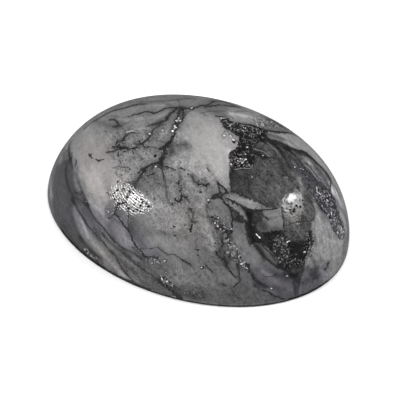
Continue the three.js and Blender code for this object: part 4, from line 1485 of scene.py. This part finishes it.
class Pinolite(Material):
    """The polished rock. Its methods each give or change the tone, which is the stone's reflectance."""

    def __init__(self):
        super().__init__("polished_pinolite")
        place = self.scaled(self.node("ShaderNodeTexCoord", output="Object"), 1 / MM)
        self.place = place
        self.broad = self.noise(place, 0.5, 3)
        self.middling = self.noise(place, 1.7, 3, 0.6)
        self.small = self.noise(self.moved(place, (7, 3, 5)), 4.5, 2, 0.6)
        self.fine = self.noise(place, 10.0, 2, 0.65)
        self.grainy = self.noise(self.moved(place, (2, 9, 4)), 7.0, 2, 0.7)
        self.salty = self.noise(place, 5.0, 2, 0.7)
        self.slanting = self.streaks(-50, (0.5, 3.0, 1.0))
        self.upright = self.streaks(-84, (0.5, 3.5, 1.0))
        self.pitted = self.field("pitted")
        self.crackled = self.field("crackled")

    def streaks(self, degrees, stretch):
        return self.noise(self.wander(self.along(self.place, degrees, stretch), 0.5, 0.3), 1.0, 3, 0.6)

    def uneven(self, **shares):
        """The rock's noises, each named with its share, added up."""
        return sum((getattr(self, name) * share for name, share in shares.items()), start=0)

    def magnesite(self):
        """Pale stone: clouds and cleavage streaks, a web of hairlines, speckle, pepper and smoke."""
        peppered = self.field("peppered")
        unrest = self.uneven(middling=0.34, small=0.34, fine=0.2, grainy=0.2, slanting=0.25, upright=0.15)
        tone = self.field("pale") * (1 + self.uneven(broad=0.12, grainy=0.06)
                                     + unrest * self.step(peppered, -0.3, 0.9))
        web = self.hairlines(self.wander(self.place, 1.2, 0.25), 0.85, 0.11)
        web = web * self.step(self.middling, -0.2, 0.8)
        speckle = self.step(self.uneven(small=1, fine=0.6, middling=0.5), 0.5, 1.2)
        trails = self.hairlines(self.wander(self.place, 0.7, 0.5), 0.5, 0.6)
        pepper = self.dots(self.wander(self.place, 3.0, 0.16), 2.0, 0.3, 0.3)
        pepper = pepper * self.step(trails + self.small * 0.25, 0.3, 0.75)
        faint_pepper = self.dots(self.wander(self.place, 4.0, 0.12), 3.4, 0.7, 0.38)
        faint_pepper = faint_pepper * self.step(self.uneven(middling=1, small=1), -0.6, 0.8)
        pepper = pepper.at_least(faint_pepper * 0.75)
        tone = tone * (1 - web * peppered * 0.5) * (1 - speckle * peppered * 0.3) * (1 - pepper * peppered)
        smoke = self.field("smoke") * (1 + self.uneven(middling=0.5, small=0.35, fine=0.2))
        return tone * (1 - smoke.within_one())

    def charcoal(self):
        """Charcoal stone, and where it is: it parts from the pale stone along a ragged edge."""
        edge = self.field("charcoal") + self.uneven(middling=0.08, small=0.11, fine=0.06)
        grit = self.uneven(fine=1, grainy=1) * (0.35 + self.pitted * 0.5)
        unrest = self.uneven(broad=0.2, middling=0.35, small=0.4, slanting=0.4) + grit
        return self.field("dark") * (1 + unrest).at_least(0.2), self.step(edge, -0.05, 0.06)

    def pulled_out(self, tone):
        """Pits where graphite has pulled out, with flecks and splinters (part crystal, part painted glint)
        and painted glints in them.
        """
        pits = self.step(self.noise(self.place, 3.4, 2, 0.5) + self.salty * 0.6, -0.3, 0.8) * self.pitted
        tone = tone * (1 - pits * 0.9)
        # Flecks: part crystal left in the pits, part painted glints off graphite flakes.
        flecks_and_glints = self.splinters_and_glints(self.place, FLECK_AND_GLINT_LAYERS, (1.8, 9.0, 1.8), (0.38, 0.16), (0.5, 0.9))
        flecks_and_glints = flecks_and_glints * self.step(self.pitted, 0.2, 0.9)
        tone = tone.towards(0.5, flecks_and_glints * (self.pitted * 0.75 - 0.1).at_least(0).at_most(0.5))
        # Painted glints: bright dots that stand for light glinting off graphite flakes in the pits.
        painted_glints = self.dots(self.wander(self.place, 4.0, 0.08), 5.0, 0.4, 0.36)
        painted_glints = painted_glints * self.step(self.pitted, 0.5, 1.0) * self.step(self.salty, 0.0, 0.7)
        tone = tone.towards(0.65, painted_glints)
        # Splinters in the most pitted parts: part crystal, part painted glints.
        splinters_and_glints = self.splinters_and_glints(self.place, SPLINTER_AND_GLINT_LAYERS, (1.1, 6.5, 2.0), (0.4, 0.2), (0.65, 0.85))
        return tone.towards(0.75, splinters_and_glints * self.step(self.pitted, 0.85, 1.1)), pits, flecks_and_glints

    def seams(self, tone):
        """Graphite seams, hairlines and spots, and the painted shade line along the lower edge."""
        way = self.wander(self.field("seam_offset", "Vector"), 2.6, 0.75, self.place)
        gap = self.length(self.wander(way, 7.0, 0.45, self.place)).at_least(self.field("seam_distance") - 1.0)
        gap = gap * (1 + self.uneven(middling=0.35, small=0.4)) + self.uneven(small=0.25, fine=0.35)
        strength = self.field("seam_strength")
        strength = strength * strength * (1.35 + self.uneven(small=0.65, middling=0.45, fine=0.6))
        seam = self.step(gap, 1.45, 0.7) * strength.within_one()
        return tone.towards(0.01, seam), seam

    def grains(self, tone):
        """Bright grains and chips, each with a little dark graphite round it."""
        gap = self.length(self.field("grain_offset", "Vector")).at_least(self.field("grain_distance") - 1.0)
        gap = gap * (1 + self.small * 0.25) + self.uneven(small=0.3, fine=0.25)
        strength = self.field("grain_strength")
        dark_ring = self.step(gap, 3.0, 1.3) * strength * (0.55 + self.salty * 0.6)
        tone = tone.towards(0.012, dark_ring.within_one())
        return tone.towards(0.75, self.step(gap, 1.0, 0.15) * strength * strength)

    def coloured(self, tone):
        """The tone as a colour: warm parts are a little brown and cool parts a little violet."""
        warm, cool = self.field("tint").at_least(0), (0 - self.field("tint")).at_least(0)
        return self.node("ShaderNodeCombineColor", None, {
            "Red": tone * (1.004 + warm * 0.036 + cool * 0.03), "Green": tone * 0.995,
            "Blue": tone * (1.006 - warm * 0.028 + cool * 0.1)})

    def build(self):
        dark, is_dark = self.charcoal()
        tone = self.magnesite().towards(dark, is_dark)
        tone, pits, flecks_and_glints = self.pulled_out(tone)
        tone, seam = self.seams(tone)
        # Painted shade: the girdle is darkened to give the dark line along the foot of the stone.
        tone = tone * (1 - self.field("painted_girdle_shade") * 0.85)
        tone = self.grains(tone)
        # Small pits, flakes and rings of fine scratches where the polish has crackled.
        crackle_pits = self.dots(self.wander(self.place, 3.0, 0.08), 2.7, 0.75, 0.34)
        crackle_pits = crackle_pits * self.step(self.crackled, 0.5, 1.0)
        colour = self.coloured(tone * (1 - crackle_pits * 0.95))
        flakes = self.noise(self.wander(self.along(self.place, -38, (1.5, 5.0, 2.0)), 1.0, 0.5), 1.0, 2, 0.6)
        turns = self.field("ring") * (2 * math.pi / RING_SPACING) + self.uneven(middling=1.2, small=0.9)
        rings = turns.sine()
        scratch = self.step(rings + self.salty * 0.5, 0.2, 0.9) * self.crackled
        # The back is left as it was ground, with long fine marks.
        back = self.field("back")
        saw_marks = self.noise(self.along(self.place, 12, (0.15, 9.0, 1.0)), 1.0, 2, 0.6)

        roughness = (0.08 + self.crackled * 0.05 + self.small * 0.02 + is_dark * 0.02 + pits * 0.2
                     + back * 0.38)
        height = (self.uneven(fine=0.0005, small=0.0012, middling=0.003) - pits * 0.02 - seam * 0.016
                  + flecks_and_glints * 0.01 + self.crackled * (flakes * 0.003 + self.small * 0.002 + rings * 0.003)
                  + back * saw_marks * 0.003)
        bump = self.node("ShaderNodeBump", None, {
            "Strength": 1.0, "Distance": MM, "Height": height}, output="Normal")
        polished = self.node("ShaderNodeBsdfPrincipled", None, {
            "Base Color": colour, "Roughness": roughness, "IOR": 1.5, "Normal": bump})
        matte = self.node("ShaderNodeBsdfPrincipled", None, {
            "Base Color": colour, "Roughness": 0.9, "Specular IOR Level": 0.1, "Normal": bump})
        matte_share = (seam + pits * 0.6 + scratch * 0.9 + crackle_pits).at_most(1)
        return self.finish(self.node("ShaderNodeMixShader", None, {0: matte_share, 1: polished, 2: matte}))


mesh.materials.append(Pinolite().build())


# The stage: floor, lights and camera
# Half the floor's side, in metres.
FLOOR_REACH = 3.0
# How far the floor lies under the stone's back, so that the two don't share a plane.
FLOOR_GAP = 0.02
FLOOR_COLOUR = (0.9, 0.9, 0.9, 1)
FLOOR_ROUGHNESS = 0.8
SURROUNDING_LIGHT = (0.16, 0.16, 0.163, 1)
# The round lamps' distance, and how much of their light the polished stone mirrors.
LAMP_DISTANCE = 250.0
STONE_GLOSS = 0.04
# Each oval highlight of the photograph: (name, middle, end of its length, end of its width, brightness
# against a white that just fills the picture, power of a wider lamp at its place that doesn't show in it).
HIGHLIGHTS = [
    ("left_lamp", (130.5, 198), (144, 207.5), (134, 192.2), 1.6, 0.05),
    ("right_lamp", (291.3, 200.8), (286.4, 207), (294.0, 202.6), 1.5, 0.08),
    ("right_glow", (293.5, 204), (293.5, 213.5), (300.5, 204), 0.27, 0.0),
]
FILL_SIZE = (60, 60)
# The large soft sheets over the stone: (name, degrees round from the camera, degrees up, power).
SHEETS = [("front_sheet", 0.0, 56.0, 1.93), ("back_sheet", 180.0, 50.0, 1.3)]
SHEET_DISTANCE = 520.0
SHEET_SIZE = (420, 420)


def floor_material():
    floor_look = Material("floor")
    return floor_look.finish(floor_look.node("ShaderNodeBsdfPrincipled", None, {
        "Base Color": FLOOR_COLOUR, "Roughness": FLOOR_ROUGHNESS}))


def area_lamp(name, place, axes, size, power, shows_in_gloss):
    """An oval area lamp. Its axes are its own right, up and back directions."""
    light = bpy.data.lights.new(name, "AREA")
    light.shape = "ELLIPSE"
    light.size, light.size_y = size[0] * MM, size[1] * MM
    light.energy = power
    lamp = bpy.data.objects.new(name, light)
    lamp.matrix_world = Matrix.Translation(Vector(place) * MM) @ Matrix(axes).transposed().to_4x4()
    lamp.visible_glossy = shows_in_gloss
    lamp.visible_camera = False
    bpy.context.scene.collection.objects.link(lamp)


def lamp_axes(back, across):
    """Right, up and back directions for a lamp that shines against `back` and lies along `across`."""
    back = back / np.linalg.norm(back)
    right = across - back * (across @ back)
    right /= np.linalg.norm(right)
    return right, np.cross(back, right), back


def mirrored(pixel):
    """The place on the dome under a pixel, and the place at the lamps' distance that it mirrors."""
    (place,), _ = meet_dome(np.array([pixel], float))
    normal = normals[np.linalg.norm(surface - place, axis=1).argmin()]
    to_camera = CAMERA_PLACE - place
    to_camera /= np.linalg.norm(to_camera)
    return place, place + LAMP_DISTANCE * (2 * (normal @ to_camera) * normal - to_camera)


def highlight_lamps(name, middle, length_end, width_end, brightness, fill_power):
    """The lamp whose mirror image is one of the photograph's highlights, and its fill."""
    spot, place = mirrored(middle)
    half_length, half_width = mirrored(length_end)[1] - place, mirrored(width_end)[1] - place
    axes = lamp_axes(place - spot, half_length)
    size = 2 * abs(half_length @ axes[0]), 2 * abs(half_width @ axes[1])
    power = brightness / STONE_GLOSS * math.pi**2 / 4 * size[0] * size[1] * MM**2
    area_lamp(name, place, axes, size, power, True)
    if fill_power:
        area_lamp(name + "_fill", place, axes, FILL_SIZE, fill_power, False)


def soft_sheet(name, turn, elevation, power):
    heading, rise = CAMERA_AZIMUTH + math.radians(turn), math.radians(elevation)
    level = math.cos(rise)
    away = np.array([math.sin(heading) * level, -math.cos(heading) * level, math.sin(rise)])
    axes = lamp_axes(away, np.array([math.cos(heading), math.sin(heading), 0.0]))
    area_lamp(name, SHEET_DISTANCE * away, axes, SHEET_SIZE, power, False)


floor_mesh = bpy.data.meshes.new("floor")
floor_corners = [(x * FLOOR_REACH, y * FLOOR_REACH, 0) for x, y in ((-1, -1), (1, -1), (1, 1), (-1, 1))]
floor_mesh.from_pydata(floor_corners, [], [(0, 1, 2, 3)])
floor_mesh.materials.append(floor_material())
floor = bpy.data.objects.new("floor", floor_mesh)
floor.location.z = -FLOOR_GAP * MM
floor.visible_glossy = False
bpy.context.scene.collection.objects.link(floor)

world = bpy.data.worlds.new("studio")
world.use_nodes = True
world.node_tree.nodes["Background"].inputs["Color"].default_value = SURROUNDING_LIGHT
bpy.context.scene.world = world

for highlight in HIGHLIGHTS:
    highlight_lamps(*highlight)
for sheet in SHEETS:
    soft_sheet(*sheet)

camera_data = bpy.data.cameras.new("camera")
camera_data.lens = LENS
camera_data.sensor_width = SENSOR_WIDTH
camera_data.clip_start = 0.01
camera = bpy.data.objects.new("camera", camera_data)
camera_axes = Matrix((CAMERA_RIGHT, CAMERA_UP, CAMERA_BACK)).transposed().to_4x4()
camera.matrix_world = Matrix.Translation(Vector(CAMERA_PLACE) * MM) @ camera_axes
bpy.context.scene.collection.objects.link(camera)
bpy.context.scene.camera = camera

bpy.context.scene.view_settings.view_transform = "Standard"
